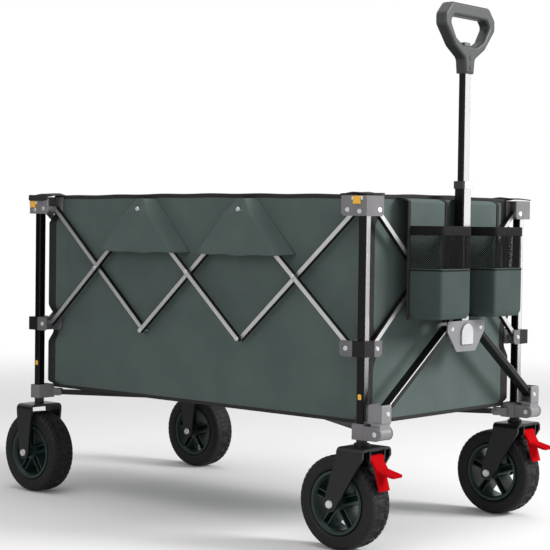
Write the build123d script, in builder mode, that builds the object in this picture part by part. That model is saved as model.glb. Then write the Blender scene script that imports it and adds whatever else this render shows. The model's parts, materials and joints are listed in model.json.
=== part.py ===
from build123d import *
import os
from math import acos, atan2, cos, degrees, hypot, sin

# Folding camp wagon. Millimetres, +Z up, +X towards the pull handle, ground at Z = 0,
# origin under the middle of the wagon. "Outward" and "inward" are measured from the
# centre of a corner post.

# ---------------------------------------------------------------- driving dimensions
POST_LENGTH = 882        # rear to front post centres
POST_WIDTH = 494         # right to left post centres
SIDE_EAR = 27            # post centre to the bar pivots of a long side
END_EAR = 19.5           # post centre to the bar pivots of an end
PIVOT_TOP = 605          # height of the top pivots
PIVOT_SLIDER = 360       # height of the sliding pivots, unfolded
POST_SIZE = 16.5
POST_CORNER = 3          # outer corner radius of the post tube
POST_WALL = 1.5
POST_TOP = 630
FOOT_BOTTOM = 200
FOOT_TOP = 228
FLOOR_PIVOT = 211        # height of the floor-bar pivots
TYRE_R = 85
TYRE_WIDTH = 54
RIM_R = 57
CASTER_TRAIL = 37
PEDAL_REACH = 82         # foremost edge of a brake pedal, ahead of its post
POCKET_REACH = 85        # front of the cup pockets, ahead of the front posts
HINGE_AHEAD = 40         # drawbar hinge axis ahead of the front posts
HINGE_Z = 213

BAR_DEPTH = 10.5
BAR_THICK = 9
BAR_EDGE = 1.2
BASE_LAYER, MID_LAYER, FACE_LAYER = -20.5, -11.0, -1.5    # side bars, outward offsets
LAYER_PITCH = 9.5
END_INNER, END_OUTER = -0.5, 9.0                          # end bars, outward offsets
PIN_R = 3.0
FIT = 0.05               # radial clearance of a pin in its eye
GAP = 0.3                # side clearance between parts that move past each other
WASHER_R = 6.0
HEAD_R = 4.6
HEAD_H = 1.8
SHEET = 2.5              # bracket plate

CENTRE_X = (TYRE_R - POCKET_REACH) / 2
SPAN = POST_LENGTH - 2 * SIDE_EAR
UNIT = SPAN / 3                                # width of one side cross
MID_Z = (PIVOT_TOP + PIVOT_SLIDER) / 2         # height of every cross pivot
RISE = (PIVOT_TOP - PIVOT_SLIDER) / 2
END_HALF = (POST_WIDTH - 2 * END_EAR) / 2
END_RISE = RISE * (END_HALF - UNIT / 2) / (UNIT / 2)    # same slope beyond the cross
CORNERS = {
    "rear_right": (-1, -1),
    "front_right": (1, -1),
    "front_left": (1, 1),
    "rear_left": (-1, 1),
}
# side: (corner it starts from, direction along it, +1 when the plane faces outward)
SIDES = {
    "right": ("rear_right", (1, 0, 0), 1),
    "left": ("rear_left", (1, 0, 0), -1),
    "front": ("front_right", (0, 1, 0), 1),
    "rear": ("rear_right", (0, 1, 0), -1),
}
os.makedirs("parts", exist_ok=True)


def save(name, part):
    """Label a finished piece and write its STEP file."""
    part.label = name
    export_step(part, f"parts/{name}.step")


# ---------------------------------------------------------------- reference planes
def post_xy(corner):
    sx, sy = CORNERS[corner]
    return CENTRE_X + sx * POST_LENGTH / 2, sy * POST_WIDTH / 2


def corner_plane(corner, z):
    """Plan plane at a post: local X is outward, local Y outward times `hand`."""
    x, y = post_xy(corner)
    return Plane(origin=(x, y, z), x_dir=(CORNERS[corner][0], 0, 0), z_dir=(0, 0, 1))


def hand(corner):
    sx, sy = CORNERS[corner]
    return sx * sy


def side_plane(side, outward):
    """Upright plane of a wagon side, origin on the ground under its first post."""
    corner, along, facing = SIDES[side]
    x, y = post_xy(corner)
    normal = Vector(*along).cross(Vector(0, 0, 1))
    return Plane(origin=(x, y, 0), x_dir=along, z_dir=normal).offset(facing * outward)


def along_x(corner, outward):
    """Upright XZ plane beside a post: local X is world +X, normal is world -Y."""
    x, y = post_xy(corner)
    return Plane(origin=(x, y + CORNERS[corner][1] * outward, 0), x_dir=(1, 0, 0), z_dir=(0, -1, 0))


def patch(a, b, side):
    """Rectangle in a corner plane between outward distances a (X) and b (Y)."""
    with Locations(((a[0] + a[1]) / 2, side * (b[0] + b[1]) / 2)):
        Rectangle(a[1] - a[0], b[1] - b[0])


# ---------------------------------------------------------------- scissor bars
def link(name, side, layer, points, pins):
    """Scissor bar through three pivots (distance along the side, height).

    Pivots listed in `pins` carry a rivet and a spacer that reach through the bar in the
    next layer outward; the others are plain eyes.
    """
    facing = SIDES[side][2]
    (s0, z0), _, (s1, z1) = points
    with BuildPart() as bar:
        with BuildSketch(side_plane(side, layer)):
            with Locations(((s0 + s1) / 2, (z0 + z1) / 2)):
                SlotCenterToCenter(hypot(s1 - s0, z1 - z0), BAR_DEPTH,
                                   rotation=degrees(atan2(z1 - z0, s1 - s0)))
        extrude(amount=BAR_THICK / 2, both=True)
        chamfer(bar.faces().sort_by(SortBy.AREA)[-2:].edges(), BAR_EDGE)
        eyes = [p for i, p in enumerate(points) if i not in pins]
        if eyes:
            with BuildSketch(side_plane(side, layer)):
                with Locations(*eyes):
                    Circle(PIN_R + FIT)
            extrude(amount=BAR_THICK, both=True, mode=Mode.SUBTRACT)
        if pins:
            stubs = [points[i] for i in pins]
            reach = LAYER_PITCH + BAR_THICK / 2 + GAP
            with BuildSketch(side_plane(side, layer)):
                with Locations(*stubs):
                    Circle(PIN_R)
            extrude(amount=facing * reach)
            with BuildSketch(side_plane(side, layer)):
                with Locations(*stubs):
                    Circle(WASHER_R - 0.5)
            extrude(amount=facing * (LAYER_PITCH - BAR_THICK / 2 - GAP))
            with BuildSketch(side_plane(side, layer + reach)):
                with Locations(*stubs):
                    Circle(HEAD_R)
            extrude(amount=facing * HEAD_H, taper=30)
            with BuildSketch(side_plane(side, layer - BAR_THICK / 2)):
                with Locations(*stubs):
                    Circle(HEAD_R - 1)
            extrude(amount=-facing * 1.0)
    save(name, bar.part)


def side_scissors(side):
    """Three crosses of six bars between the rear and front post of a long side."""
    top = [(SIDE_EAR + i * UNIT, PIVOT_TOP) for i in range(4)]
    low = [(SIDE_EAR + i * UNIT, PIVOT_SLIDER) for i in range(4)]
    cross = [(SIDE_EAR + (i + 0.5) * UNIT, MID_Z) for i in range(3)]
    down_layers = (BASE_LAYER, FACE_LAYER, FACE_LAYER)
    up_layers = (MID_LAYER, MID_LAYER, MID_LAYER)
    down_pins = ((1, 2), (), ())
    up_pins = ((2,), (1, 2), (0, 1))
    for i in range(3):
        down = (top[i], cross[i], low[i + 1])
        up = (low[i], cross[i], top[i + 1])
        link(f"{side}_link_{i + 1}_down", side, down_layers[i], down, down_pins[i])
        link(f"{side}_link_{i + 1}_up", side, up_layers[i], up, up_pins[i])


def end_scissors(side):
    """Two crosses of four bars across one end; the bars are shorter beyond the cross."""
    low_centre = (END_EAR + END_HALF, MID_Z - END_RISE)
    high_centre = (END_EAR + END_HALF, MID_Z + END_RISE)
    for half, start in (("right", END_EAR), ("left", POST_WIDTH - END_EAR)):
        step = UNIT / 2 if half == "right" else -UNIT / 2
        cross = (start + step, MID_Z)
        down = ((start, PIVOT_TOP), cross, low_centre)
        up = ((start, PIVOT_SLIDER), cross, high_centre)
        inner, outer = (up, down) if half == "right" else (down, up)
        inner_name, outer_name = ("up", "down") if half == "right" else ("down", "up")
        link(f"{side}_link_{half}_{inner_name}", side, END_INNER, inner, (1, 2))
        link(f"{side}_link_{half}_{outer_name}", side, END_OUTER, outer, ())


# ---------------------------------------------------------------- corner brackets
SIDE_REACH, END_REACH = 41, 33   # inward reach of a bracket's two ears
EAR_TRIM = 5             # chamfer of an ear's free corner
SKIN = (14.0, 16.5)      # outward faces of its outer plates
SIDE_CHEEK = (-28.0, -25.5)
END_CHEEK = (-8.0, -5.5)
WEB = (-13.5, -11.0)


def clevis(corner, pivot_z, z_low, z_high, side_layer, end_layer, hole):
    """Bent-plate bracket round a post with an ear for a side bar and one for an end bar."""
    side = hand(corner)
    inside, outside = WEB[0], SKIN[1]
    with BuildSketch(corner_plane(corner, z_low)) as flat:
        patch((inside, SKIN[0]), (inside, SKIN[0]), side)
        patch((-SIDE_REACH, outside), SKIN, side)
        patch(SKIN, (-END_REACH, outside), side)
        patch(WEB, (SIDE_CHEEK[0], SKIN[0]), side)
        patch((-SIDE_REACH, WEB[1]), SIDE_CHEEK, side)
        patch((END_CHEEK[0], SKIN[0]), WEB, side)
        patch(END_CHEEK, (-END_REACH, WEB[1]), side)
        Rectangle(hole, hole, mode=Mode.SUBTRACT)
    extrude(flat.sketch, amount=z_high - z_low)
    sx, sy = CORNERS[corner]
    x, y = post_xy(corner)
    # free lower corners of the two ears, cut at 45 degrees
    for reach, inward in ((SIDE_REACH, Vector(-sx, 0, 0)), (END_REACH, Vector(0, -sy, 0))):
        with BuildSketch(Plane(origin=(x, y, z_low), x_dir=inward, z_dir=inward.cross(Vector(0, 0, 1)))) as flat:
            with BuildLine():
                Polyline((reach, 0), (reach - EAR_TRIM, 0), (reach, EAR_TRIM), close=True)
            make_face()
        extrude(flat.sketch, amount=2 * SIDE_REACH, both=True, mode=Mode.SUBTRACT)
    # pins, spacers and heads of the two ears
    for centre, axis, cheek, layer in (
        ((x - sx * SIDE_EAR, y), Vector(0, sy, 0), SIDE_CHEEK, side_layer),
        ((x, y - sy * END_EAR), Vector(sx, 0, 0), END_CHEEK, end_layer),
    ):
        def ring_plane(outward):
            return Plane(origin=Vector(centre[0], centre[1], pivot_z) + axis * outward, z_dir=axis)

        with BuildSketch(ring_plane(cheek[0])) as flat:
            Circle(PIN_R)
        extrude(flat.sketch, amount=outside - cheek[0])
        for start, stop in ((cheek[1], layer - BAR_THICK / 2 - GAP), (layer + BAR_THICK / 2 + GAP, SKIN[0])):
            if stop - start > 0.5:
                with BuildSketch(ring_plane(start)) as flat:
                    Circle(WASHER_R)
                extrude(flat.sketch, amount=stop - start)
        with BuildSketch(ring_plane(outside)) as flat:
            Circle(HEAD_R)
        extrude(flat.sketch, amount=HEAD_H, taper=30)


SIDE_TOP_LAYER = {"rear": BASE_LAYER, "front": MID_LAYER}
SIDE_SLIDER_LAYER = {"rear": MID_LAYER, "front": FACE_LAYER}
END_TOP_LAYER = {"right": END_OUTER, "left": END_INNER}
END_SLIDER_LAYER = {"right": END_INNER, "left": END_OUTER}
FLOOR_EAR = Vector(-20, -38)     # floor-bar pivot from the post centre (outward X, Y)
HUB_EAR_X = 95
# this keeps a floor bar pointing the same way while the frame folds
HUB_EAR_Y = END_EAR + FLOOR_EAR.Y - (SIDE_EAR + FLOOR_EAR.X - HUB_EAR_X) * END_HALF / (SPAN / 2)


def floor_run(corner):
    """Foot pivot, hub pivot (plan) and unit direction of a floor bar."""
    sx, sy = CORNERS[corner]
    x, y = post_xy(corner)
    foot = Vector(x + sx * FLOOR_EAR.X, y + sy * FLOOR_EAR.Y, FLOOR_PIVOT)
    hub = Vector(CENTRE_X + sx * HUB_EAR_X, sy * HUB_EAR_Y, FLOOR_PIVOT)
    return foot, hub, (hub - foot).normalized()


def upright_plane(origin, direction, lateral):
    """Upright plane through a point, local X along `direction`, shifted sideways."""
    normal = direction.cross(Vector(0, 0, 1))
    return Plane(origin=origin + normal * lateral, x_dir=direction, z_dir=normal)


FOOT_SIZE, FOOT_CORNER = 28, 4
FOOT_ARM = (-30, -10)            # arm towards the middle that carries the floor-bar clevis
CLEVIS_SLACK = 0.5               # room beside a floor bar
CLEVIS_BACK, CLEVIS_NOSE, CLEVIS_TALL = 22, 8, 15


def foot_bracket(corner):
    """Cast foot under a post: block, diagonal clevis for the floor bar, forward hinge cheeks."""
    side = hand(corner)
    front = CORNERS[corner][0] > 0
    x, y = post_xy(corner)
    with BuildSketch(corner_plane(corner, FOOT_BOTTOM)) as flat:
        RectangleRounded(FOOT_SIZE, FOOT_SIZE, FOOT_CORNER)
        patch((-FOOT_SIZE / 2, FOOT_SIZE / 2), FOOT_ARM, side)
    extrude(flat.sketch, amount=FOOT_TOP - FOOT_BOTTOM)
    # clevis of the floor bar
    foot, _, direction = floor_run(corner)
    inner = BAR_THICK / 2 + CLEVIS_SLACK
    outer = inner + SHEET
    for lateral in (-1, 1):
        with BuildSketch(upright_plane(foot, direction, lateral * inner)) as flat:
            with Locations(((CLEVIS_NOSE - CLEVIS_BACK) / 2, 0)):
                Rectangle(CLEVIS_NOSE + CLEVIS_BACK, CLEVIS_TALL)
            fillet(vertices().sort_by(Axis.X)[-2:], 6)
        extrude(flat.sketch, amount=lateral * SHEET)
    with BuildSketch(upright_plane(foot, direction, -outer)) as flat:
        Circle(PIN_R)
    extrude(flat.sketch, amount=2 * outer)
    for lateral in (-1, 1):
        with BuildSketch(upright_plane(foot, direction, lateral * outer)) as flat:
            Circle(HEAD_R)
        extrude(flat.sketch, amount=lateral * HEAD_H, taper=30)
    if front:
        hinge_cheeks(corner)


CHEEK_OUTER = (11.0, 14.0)       # outward faces of the two drawbar hinge cheeks
CHEEK_INNER = (-22.0, -19.0)
HINGE_PIN_R = 4.0
CHEEK_R = 12.5


def hinge_cheeks(corner):
    """Two forward plates with the cross pin that the drawbar base turns on."""
    sy = CORNERS[corner][1]
    for near, far in (CHEEK_OUTER, CHEEK_INNER):
        with BuildSketch(along_x(corner, near)) as flat:
            with Locations((HINGE_AHEAD, HINGE_Z)):
                Circle(CHEEK_R)
            with Locations(((HINGE_AHEAD + CHEEK_R) / 2, HINGE_Z)):
                Rectangle(HINGE_AHEAD - CHEEK_R, 2 * CHEEK_R)
        extrude(flat.sketch, amount=-sy * (far - near))
    with BuildSketch(along_x(corner, CHEEK_INNER[0])) as flat:
        with Locations((HINGE_AHEAD, HINGE_Z)):
            Circle(HINGE_PIN_R)
    extrude(flat.sketch, amount=-sy * (CHEEK_OUTER[1] - CHEEK_INNER[0]))
    for face, out in ((CHEEK_OUTER[1], 1), (CHEEK_INNER[0], -1)):
        with BuildSketch(along_x(corner, face)) as flat:
            with Locations((HINGE_AHEAD, HINGE_Z)):
                Circle(HEAD_R + 1)
        extrude(flat.sketch, amount=-sy * out * HEAD_H, taper=30)


STEM_R = 6.0
STEM_ROOM = 4                    # wall left above the stem bore
POST_SEAT = 6                    # how far the tube stands inside the foot
CAP = 2                          # plug in the top of the tube
BRACKET_BELOW, SLIDER_HALF = 11, 14
FIXING_Z = PIVOT_TOP - 3


def corner_post(corner):
    """Square tube with its riveted top bracket and foot bracket."""
    end = "front" if CORNERS[corner][0] > 0 else "rear"
    flank = "left" if CORNERS[corner][1] > 0 else "right"
    with BuildPart() as post:
        foot_bracket(corner)
        clevis(corner, PIVOT_TOP, PIVOT_TOP - BRACKET_BELOW, POST_TOP, SIDE_TOP_LAYER[end],
               END_TOP_LAYER[flank], POST_SIZE)
        with BuildSketch(corner_plane(corner, FOOT_BOTTOM + POST_SEAT)):
            RectangleRounded(POST_SIZE, POST_SIZE, POST_CORNER)
            RectangleRounded(POST_SIZE - 2 * POST_WALL, POST_SIZE - 2 * POST_WALL, POST_CORNER - POST_WALL,
                             mode=Mode.SUBTRACT)
        extrude(amount=POST_TOP - FOOT_BOTTOM - POST_SEAT)
        with BuildSketch(corner_plane(corner, POST_TOP)):
            Rectangle(POST_SIZE, POST_SIZE)
        extrude(amount=-CAP)
        # rivet that fixes the top bracket to the tube
        x, y = post_xy(corner)
        sy = CORNERS[corner][1]
        with BuildSketch(Plane(origin=(x, y + sy * SKIN[1], FIXING_Z), z_dir=(0, sy, 0))):
            Circle(HEAD_R)
        extrude(amount=HEAD_H, taper=30)
        if end == "front":
            with BuildSketch(corner_plane(corner, FOOT_BOTTOM)):
                Circle(STEM_R + FIT)
            extrude(amount=FOOT_TOP - FOOT_BOTTOM - STEM_ROOM, mode=Mode.SUBTRACT)
    save(f"corner_post_{corner}", post.part)


def slider(corner):
    """Bracket that slides on the post as the frame folds."""
    end = "front" if CORNERS[corner][0] > 0 else "rear"
    flank = "left" if CORNERS[corner][1] > 0 else "right"
    with BuildPart() as bracket:
        clevis(corner, PIVOT_SLIDER, PIVOT_SLIDER - SLIDER_HALF, PIVOT_SLIDER + SLIDER_HALF,
               SIDE_SLIDER_LAYER[end], END_SLIDER_LAYER[flank], POST_SIZE + 2 * GAP)
    save(f"slider_{corner}", bracket.part)


# ---------------------------------------------------------------- floor
def floor_bar(corner):
    """Flat bar from a foot to the hub, with the rivet of its hub end."""
    foot, hub, direction = floor_run(corner)
    length = (hub - foot).length
    with BuildPart() as bar:
        with BuildSketch(upright_plane(foot, direction, 0)):
            with Locations((length / 2, 0)):
                SlotCenterToCenter(length, BAR_DEPTH)
            Circle(PIN_R + FIT, mode=Mode.SUBTRACT)
        extrude(amount=BAR_THICK / 2, both=True)
        with BuildSketch(upright_plane(hub, direction, 0)):
            Circle(HEAD_R)
        extrude(amount=BAR_THICK / 2 + 1.5, both=True)
    save(f"floor_bar_{corner}", bar.part)


HUB_PLATE_TOP = FLOOR_PIVOT - BAR_DEPTH / 2 - 1
HUB_EAR_GAP = 8.5        # each ear stands this far from the middle of its bar
HUB_MARGIN = (12, 15)    # plate beyond the ears, along X and Y
HUB_WAIST_R, HUB_NOTCH_R = 52, 24
HUB_PLATE = 3
HUB_EAR = (26, 16)       # ear along its bar, and tall


def floor_hub():
    """Waisted plate with four pairs of ears that straddle the floor bars."""
    with BuildPart() as hub:
        with BuildSketch(Plane(origin=(CENTRE_X, 0, HUB_PLATE_TOP))):
            RectangleRounded(2 * (HUB_EAR_X + HUB_MARGIN[0]), 2 * (HUB_EAR_Y + HUB_MARGIN[1]), 14)
            with Locations((0, HUB_EAR_Y + HUB_WAIST_R), (0, -HUB_EAR_Y - HUB_WAIST_R)):
                Circle(HUB_WAIST_R, mode=Mode.SUBTRACT)
            with Locations((HUB_EAR_X + HUB_NOTCH_R, 0), (-HUB_EAR_X - HUB_NOTCH_R, 0)):
                Circle(HUB_NOTCH_R, mode=Mode.SUBTRACT)
        extrude(amount=-HUB_PLATE)
        for corner in CORNERS:
            _, pivot, direction = floor_run(corner)
            base = Vector(pivot.X, pivot.Y, HUB_PLATE_TOP - HUB_PLATE)
            for lateral in (-1, 1):
                with BuildSketch(upright_plane(base, direction, lateral * HUB_EAR_GAP)):
                    with Locations((6, HUB_EAR[1] / 2)):
                        Rectangle(*HUB_EAR)
                    fillet(vertices().sort_by(Axis.Y)[-2:], 6)
                extrude(amount=lateral * SHEET)
                with BuildSketch(upright_plane(pivot, direction, lateral * (HUB_EAR_GAP + SHEET))):
                    Circle(HEAD_R)
                extrude(amount=lateral * HEAD_H, taper=30)
        with BuildSketch(Plane(origin=(CENTRE_X, 0, HUB_PLATE_TOP))):
            Circle(14)
        extrude(amount=4, taper=25)
    save("floor_hub", hub.part)


# ---------------------------------------------------------------- drawbar and handle
BASE_X = (20, 50)                # strut channel, ahead of the post
BASE_Y = (-19, 8)                # strut channel, outward from the post
BASE_Z = (230, 264)
STRUT_LOW = (238, 248)           # strut pivots: distance from the middle, height
STRUT_HIGH = (46, 389)
STRUT_WIDTH = 20
STRUT_DEPTH = 11
BASE_WALL = 3
KNUCKLE_R = 12
STRUT_AHEAD = 36
STRUT_X = CENTRE_X + POST_LENGTH / 2 + STRUT_AHEAD
PLATE_X = STRUT_X + STRUT_WIDTH / 2 + 0.5
FLANKS = {"right": -1, "left": 1}


def across(x):
    """Upright plane across the wagon: local X is world +Y, normal is world +X."""
    return Plane(origin=(x, 0, 0), x_dir=(0, 1, 0), z_dir=(1, 0, 0))


def strut_base(flank):
    """Channel that holds a strut, on a knuckle between the hinge cheeks of the foot."""
    sy = FLANKS[flank]
    corner = f"front_{flank}"
    x, y = post_xy(corner)
    with BuildPart() as base:
        with BuildSketch(along_x(corner, BASE_Y[1])):
            with Locations(((BASE_X[0] + BASE_X[1]) / 2, (BASE_Z[0] + BASE_Z[1]) / 2)):
                RectangleRounded(BASE_X[1] - BASE_X[0], BASE_Z[1] - BASE_Z[0], 3)
        extrude(amount=sy * (BASE_Y[1] - BASE_Y[0]))
        # room for the strut: open at the top and towards the middle of the wagon
        with BuildSketch(along_x(corner, BASE_Y[1] - BASE_WALL)):
            with Locations((STRUT_AHEAD, (BASE_Z[0] + BASE_Z[1]) / 2 + BASE_WALL)):
                Rectangle(STRUT_WIDTH + 2, BASE_Z[1] - BASE_Z[0])
        extrude(amount=sy * (BASE_Y[1] - BASE_Y[0]), mode=Mode.SUBTRACT)
        # knuckle and its neck
        with BuildSketch(along_x(corner, CHEEK_OUTER[0] - GAP)):
            with Locations((HINGE_AHEAD, HINGE_Z)):
                Circle(KNUCKLE_R)
            with Locations((HINGE_AHEAD - 2, (HINGE_Z + BASE_Z[0]) / 2)):
                Rectangle(2 * KNUCKLE_R - 4, BASE_Z[0] - HINGE_Z + 4)
        extrude(amount=sy * (CHEEK_OUTER[0] - CHEEK_INNER[1] - 2 * GAP))
        with BuildSketch(along_x(corner, CHEEK_OUTER[1])):
            with Locations((HINGE_AHEAD, HINGE_Z)):
                Circle(HINGE_PIN_R + FIT)
        extrude(amount=sy * 60, mode=Mode.SUBTRACT)
        # strut pin and its head
        with BuildSketch(across(x + BASE_X[0])):
            with Locations((sy * STRUT_LOW[0], STRUT_LOW[1])):
                Circle(PIN_R)
        extrude(amount=BASE_X[1] - BASE_X[0])
        with BuildSketch(across(x + BASE_X[1])):
            with Locations((sy * STRUT_LOW[0], STRUT_LOW[1])):
                Circle(HEAD_R)
        extrude(amount=HEAD_H, taper=30)
    save(f"strut_base_{flank}", base.part)


def drawbar_strut(flank):
    """Flat tube from its base up to the drawbar plate; only the right one is pinned there."""
    sy = FLANKS[flank]
    (y0, z0), (y1, z1) = STRUT_LOW, STRUT_HIGH
    angle = degrees(atan2(z1 - z0, sy * (y1 - y0)))
    with BuildPart() as strut:
        with BuildSketch(across(STRUT_X)):
            with Locations((sy * (y0 + y1) / 2, (z0 + z1) / 2)):
                SlotCenterToCenter(hypot(y1 - y0, z1 - z0), STRUT_DEPTH, rotation=angle)
        extrude(amount=STRUT_WIDTH / 2, both=True)
        chamfer(strut.faces().filter_by(Axis.X).edges(), BAR_EDGE)
        eyes = (STRUT_LOW, STRUT_HIGH) if flank == "right" else (STRUT_LOW,)
        with BuildSketch(across(STRUT_X)):
            with Locations(*[(sy * y, z) for y, z in eyes]):
                Circle(PIN_R + FIT)
        extrude(amount=STRUT_WIDTH, both=True, mode=Mode.SUBTRACT)
    save(f"drawbar_strut_{flank}", strut.part)


TUBE_Y, TUBE_X = 26, 21          # outer handle tube
TUBE_BOTTOM, TUBE_TOP = 352, 662
INNER_Y, INNER_X = 20, 14        # inner handle tube
INNER_BOTTOM, INNER_TOP = 562, 880
COLLAR_H = 14
PLATE_TOP, PLATE_SHOULDER, PLATE_BOTTOM = 403, 384, 346


def drawbar_plate():
    """Six-cornered front plate with the arched boss, and the strap behind the struts."""
    with BuildPart() as plate:
        with BuildSketch(across(PLATE_X)):
            with BuildLine():
                Polyline((-60, PLATE_TOP), (60, PLATE_TOP), (60, PLATE_SHOULDER), (30, PLATE_BOTTOM),
                         (-30, PLATE_BOTTOM), (-60, PLATE_SHOULDER), close=True)
            make_face()
            fillet(vertices(), 3)
        extrude(amount=SHEET)
        with BuildSketch(across(PLATE_X + SHEET)):
            with Locations((0, 372)):
                Rectangle(38, 28)
            with Locations((0, 380)):
                Circle(19)
        extrude(amount=3.5, taper=20)
        with BuildSketch(across(PLATE_X - STRUT_WIDTH - 1)):
            with Locations((0, STRUT_HIGH[1] - 2)):
                RectangleRounded(116, 24, 5)
        extrude(amount=-SHEET)
        with BuildSketch(across(PLATE_X - STRUT_WIDTH - 1 - SHEET)):
            with Locations((-STRUT_HIGH[0], STRUT_HIGH[1])):
                Circle(PIN_R)
        extrude(amount=STRUT_WIDTH + 1 + SHEET)
        with BuildSketch(across(PLATE_X + SHEET)):
            with Locations((-STRUT_HIGH[0], STRUT_HIGH[1]), (STRUT_HIGH[0], STRUT_HIGH[1])):
                Circle(HEAD_R)
        extrude(amount=HEAD_H, taper=30)
    save("drawbar_plate", plate.part)


def handle_outer_tube():
    """Rectangular tube between plate and strap, with the guide collar at its top."""
    with BuildPart() as tube:
        with BuildSketch(Plane(origin=(STRUT_X, 0, TUBE_BOTTOM))):
            RectangleRounded(TUBE_X, TUBE_Y, 3)
            Rectangle(TUBE_X - 3, TUBE_Y - 3, mode=Mode.SUBTRACT)
        extrude(amount=TUBE_TOP - TUBE_BOTTOM - 2)
        with BuildSketch(Plane(origin=(STRUT_X, 0, TUBE_TOP - COLLAR_H))):
            RectangleRounded(TUBE_X + 4, TUBE_Y + 4, 4)
        extrude(amount=COLLAR_H)
        with BuildSketch(Plane(origin=(STRUT_X, 0, TUBE_TOP - COLLAR_H))):
            Rectangle(INNER_X + 2 * GAP, INNER_Y + 2 * GAP)
        extrude(amount=COLLAR_H, mode=Mode.SUBTRACT)
    save("handle_outer_tube", tube.part)


def handle_inner_tube():
    """Telescoping tube that slides in the collar and carries the grip."""
    with BuildPart() as tube:
        with BuildSketch(Plane(origin=(STRUT_X, 0, INNER_BOTTOM))):
            RectangleRounded(INNER_X, INNER_Y, 2.5)
            Rectangle(INNER_X - 3, INNER_Y - 3, mode=Mode.SUBTRACT)
        extrude(amount=INNER_TOP - INNER_BOTTOM)
    save("handle_inner_tube", tube.part)


GRIP_TOP, GRIP_BOTTOM = 988, 861
GRIP_HALF = 80
GRIP_THICK = 25
BUTTON_Z = (900, 919)
BUTTON = (12, 20)                # button size along X and Y
BUTTON_SOCKET_Z = 896


def handle_grip():
    """Moulded D-grip: wide top bar, curved arms, and a neck over the inner tube."""
    with BuildPart() as grip:
        with BuildSketch(across(STRUT_X)):
            with BuildLine():
                Polyline((-60, GRIP_TOP), (60, GRIP_TOP), (GRIP_HALF, 966), (GRIP_HALF, 946), (48, 908),
                         (16, 888), (13, GRIP_BOTTOM), (-13, GRIP_BOTTOM), (-16, 888), (-48, 908),
                         (-GRIP_HALF, 946), (-GRIP_HALF, 966), close=True)
            make_face()
            fillet(vertices().sort_by(Axis.Y)[2:], 12)
        extrude(amount=GRIP_THICK / 2, both=True)
        with BuildSketch(across(STRUT_X)):
            with BuildLine():
                Polyline((-52, 964), (52, 964), (62, 952), (44, 924), (22, 912), (-22, 912), (-44, 924),
                         (-62, 952), close=True)
            make_face()
            fillet(vertices(), 8)
        extrude(amount=GRIP_THICK / 2, both=True, mode=Mode.SUBTRACT)
        fillet(grip.faces().filter_by(Axis.X).edges(), 5)
        # socket for the tube and the button well above it
        with BuildSketch(Plane(origin=(STRUT_X, 0, GRIP_BOTTOM))):
            RectangleRounded(INNER_X, INNER_Y, 2.5)
        extrude(amount=INNER_TOP - GRIP_BOTTOM, mode=Mode.SUBTRACT)
        with BuildSketch(Plane(origin=(STRUT_X, 0, BUTTON_SOCKET_Z))):
            Rectangle(BUTTON[0] + 1, BUTTON[1] + 1)
        extrude(amount=30, mode=Mode.SUBTRACT)
        with BuildSketch(across(STRUT_X + GRIP_THICK / 2)):
            with Locations((0, 890), (0, 872)):
                Circle(HEAD_R)
        extrude(amount=1.2, taper=30)
    save("handle_grip", grip.part)


def grip_button():
    """Push button in the throat of the grip; it releases the telescoping tube."""
    with BuildPart() as button:
        with BuildSketch(Plane(origin=(STRUT_X, 0, BUTTON_Z[0]))):
            RectangleRounded(BUTTON[0], BUTTON[1], 3)
        extrude(amount=BUTTON_Z[1] - BUTTON_Z[0])
        fillet(button.faces().sort_by(Axis.Z)[-1].edges(), 2)
    save("grip_button", button.part)


# ---------------------------------------------------------------- forks and wheels
FORK_TOP = 188
FORK_SHEET = 5
FORK_HALF = 42
AXLE_R = 5.0


LEG_R = 14                       # round end of the legs at the axle
CROWN, CROWN_BACK = 16, 24       # height of the crown, and how far it reaches back


def touch(point, centre, radius, side):
    """Where a straight line from a point grazes a circle."""
    ahead, up = point[0] - centre[0], point[1] - centre[1]
    angle = atan2(up, ahead) + side * acos(radius / hypot(ahead, up))
    return centre[0] + radius * cos(angle), centre[1] + radius * sin(angle)


def fork_body(corner, trail, nose):
    """Bent fork: inverted U seen along X, cut to the tapered legs seen along Y."""
    x, y = post_xy(corner)
    with BuildSketch(Plane(origin=(x - 80, y, 0), x_dir=(0, 1, 0), z_dir=(1, 0, 0))) as flat:
        with Locations((0, FORK_TOP / 2)):
            Rectangle(2 * FORK_HALF, FORK_TOP)
        fillet(vertices().sort_by(Axis.Y)[-2:], 10)
        with Locations((0, (FORK_TOP - FORK_SHEET) / 2)):
            Rectangle(2 * (FORK_HALF - FORK_SHEET), FORK_TOP - FORK_SHEET, mode=Mode.SUBTRACT)
    extrude(flat.sketch, amount=160)
    with BuildSketch(Plane(origin=(x, y + 60, 0), x_dir=(1, 0, 0), z_dir=(0, -1, 0))) as flat:
        with Locations((-trail, TYRE_R)):
            Circle(LEG_R)
        right, left = (nose, FORK_TOP - CROWN), (-CROWN_BACK, FORK_TOP - CROWN)
        axle = (-trail, TYRE_R)
        Polygon((nose, FORK_TOP), right, touch(right, axle, LEG_R, -1), touch(left, axle, LEG_R, 1),
                left, (-CROWN_BACK, FORK_TOP), align=None)
    extrude(flat.sketch, amount=120, mode=Mode.INTERSECT)
    # axle bolt with its two heads
    with BuildSketch(Plane(origin=(x - trail, y - FORK_HALF, TYRE_R), z_dir=(0, 1, 0))) as flat:
        Circle(AXLE_R)
    extrude(flat.sketch, amount=2 * FORK_HALF)
    for out in (-1, 1):
        with BuildSketch(Plane(origin=(x - trail, y + out * FORK_HALF, TYRE_R), z_dir=(0, out, 0))) as flat:
            Circle(8)
        extrude(flat.sketch, amount=4, taper=20)


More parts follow.
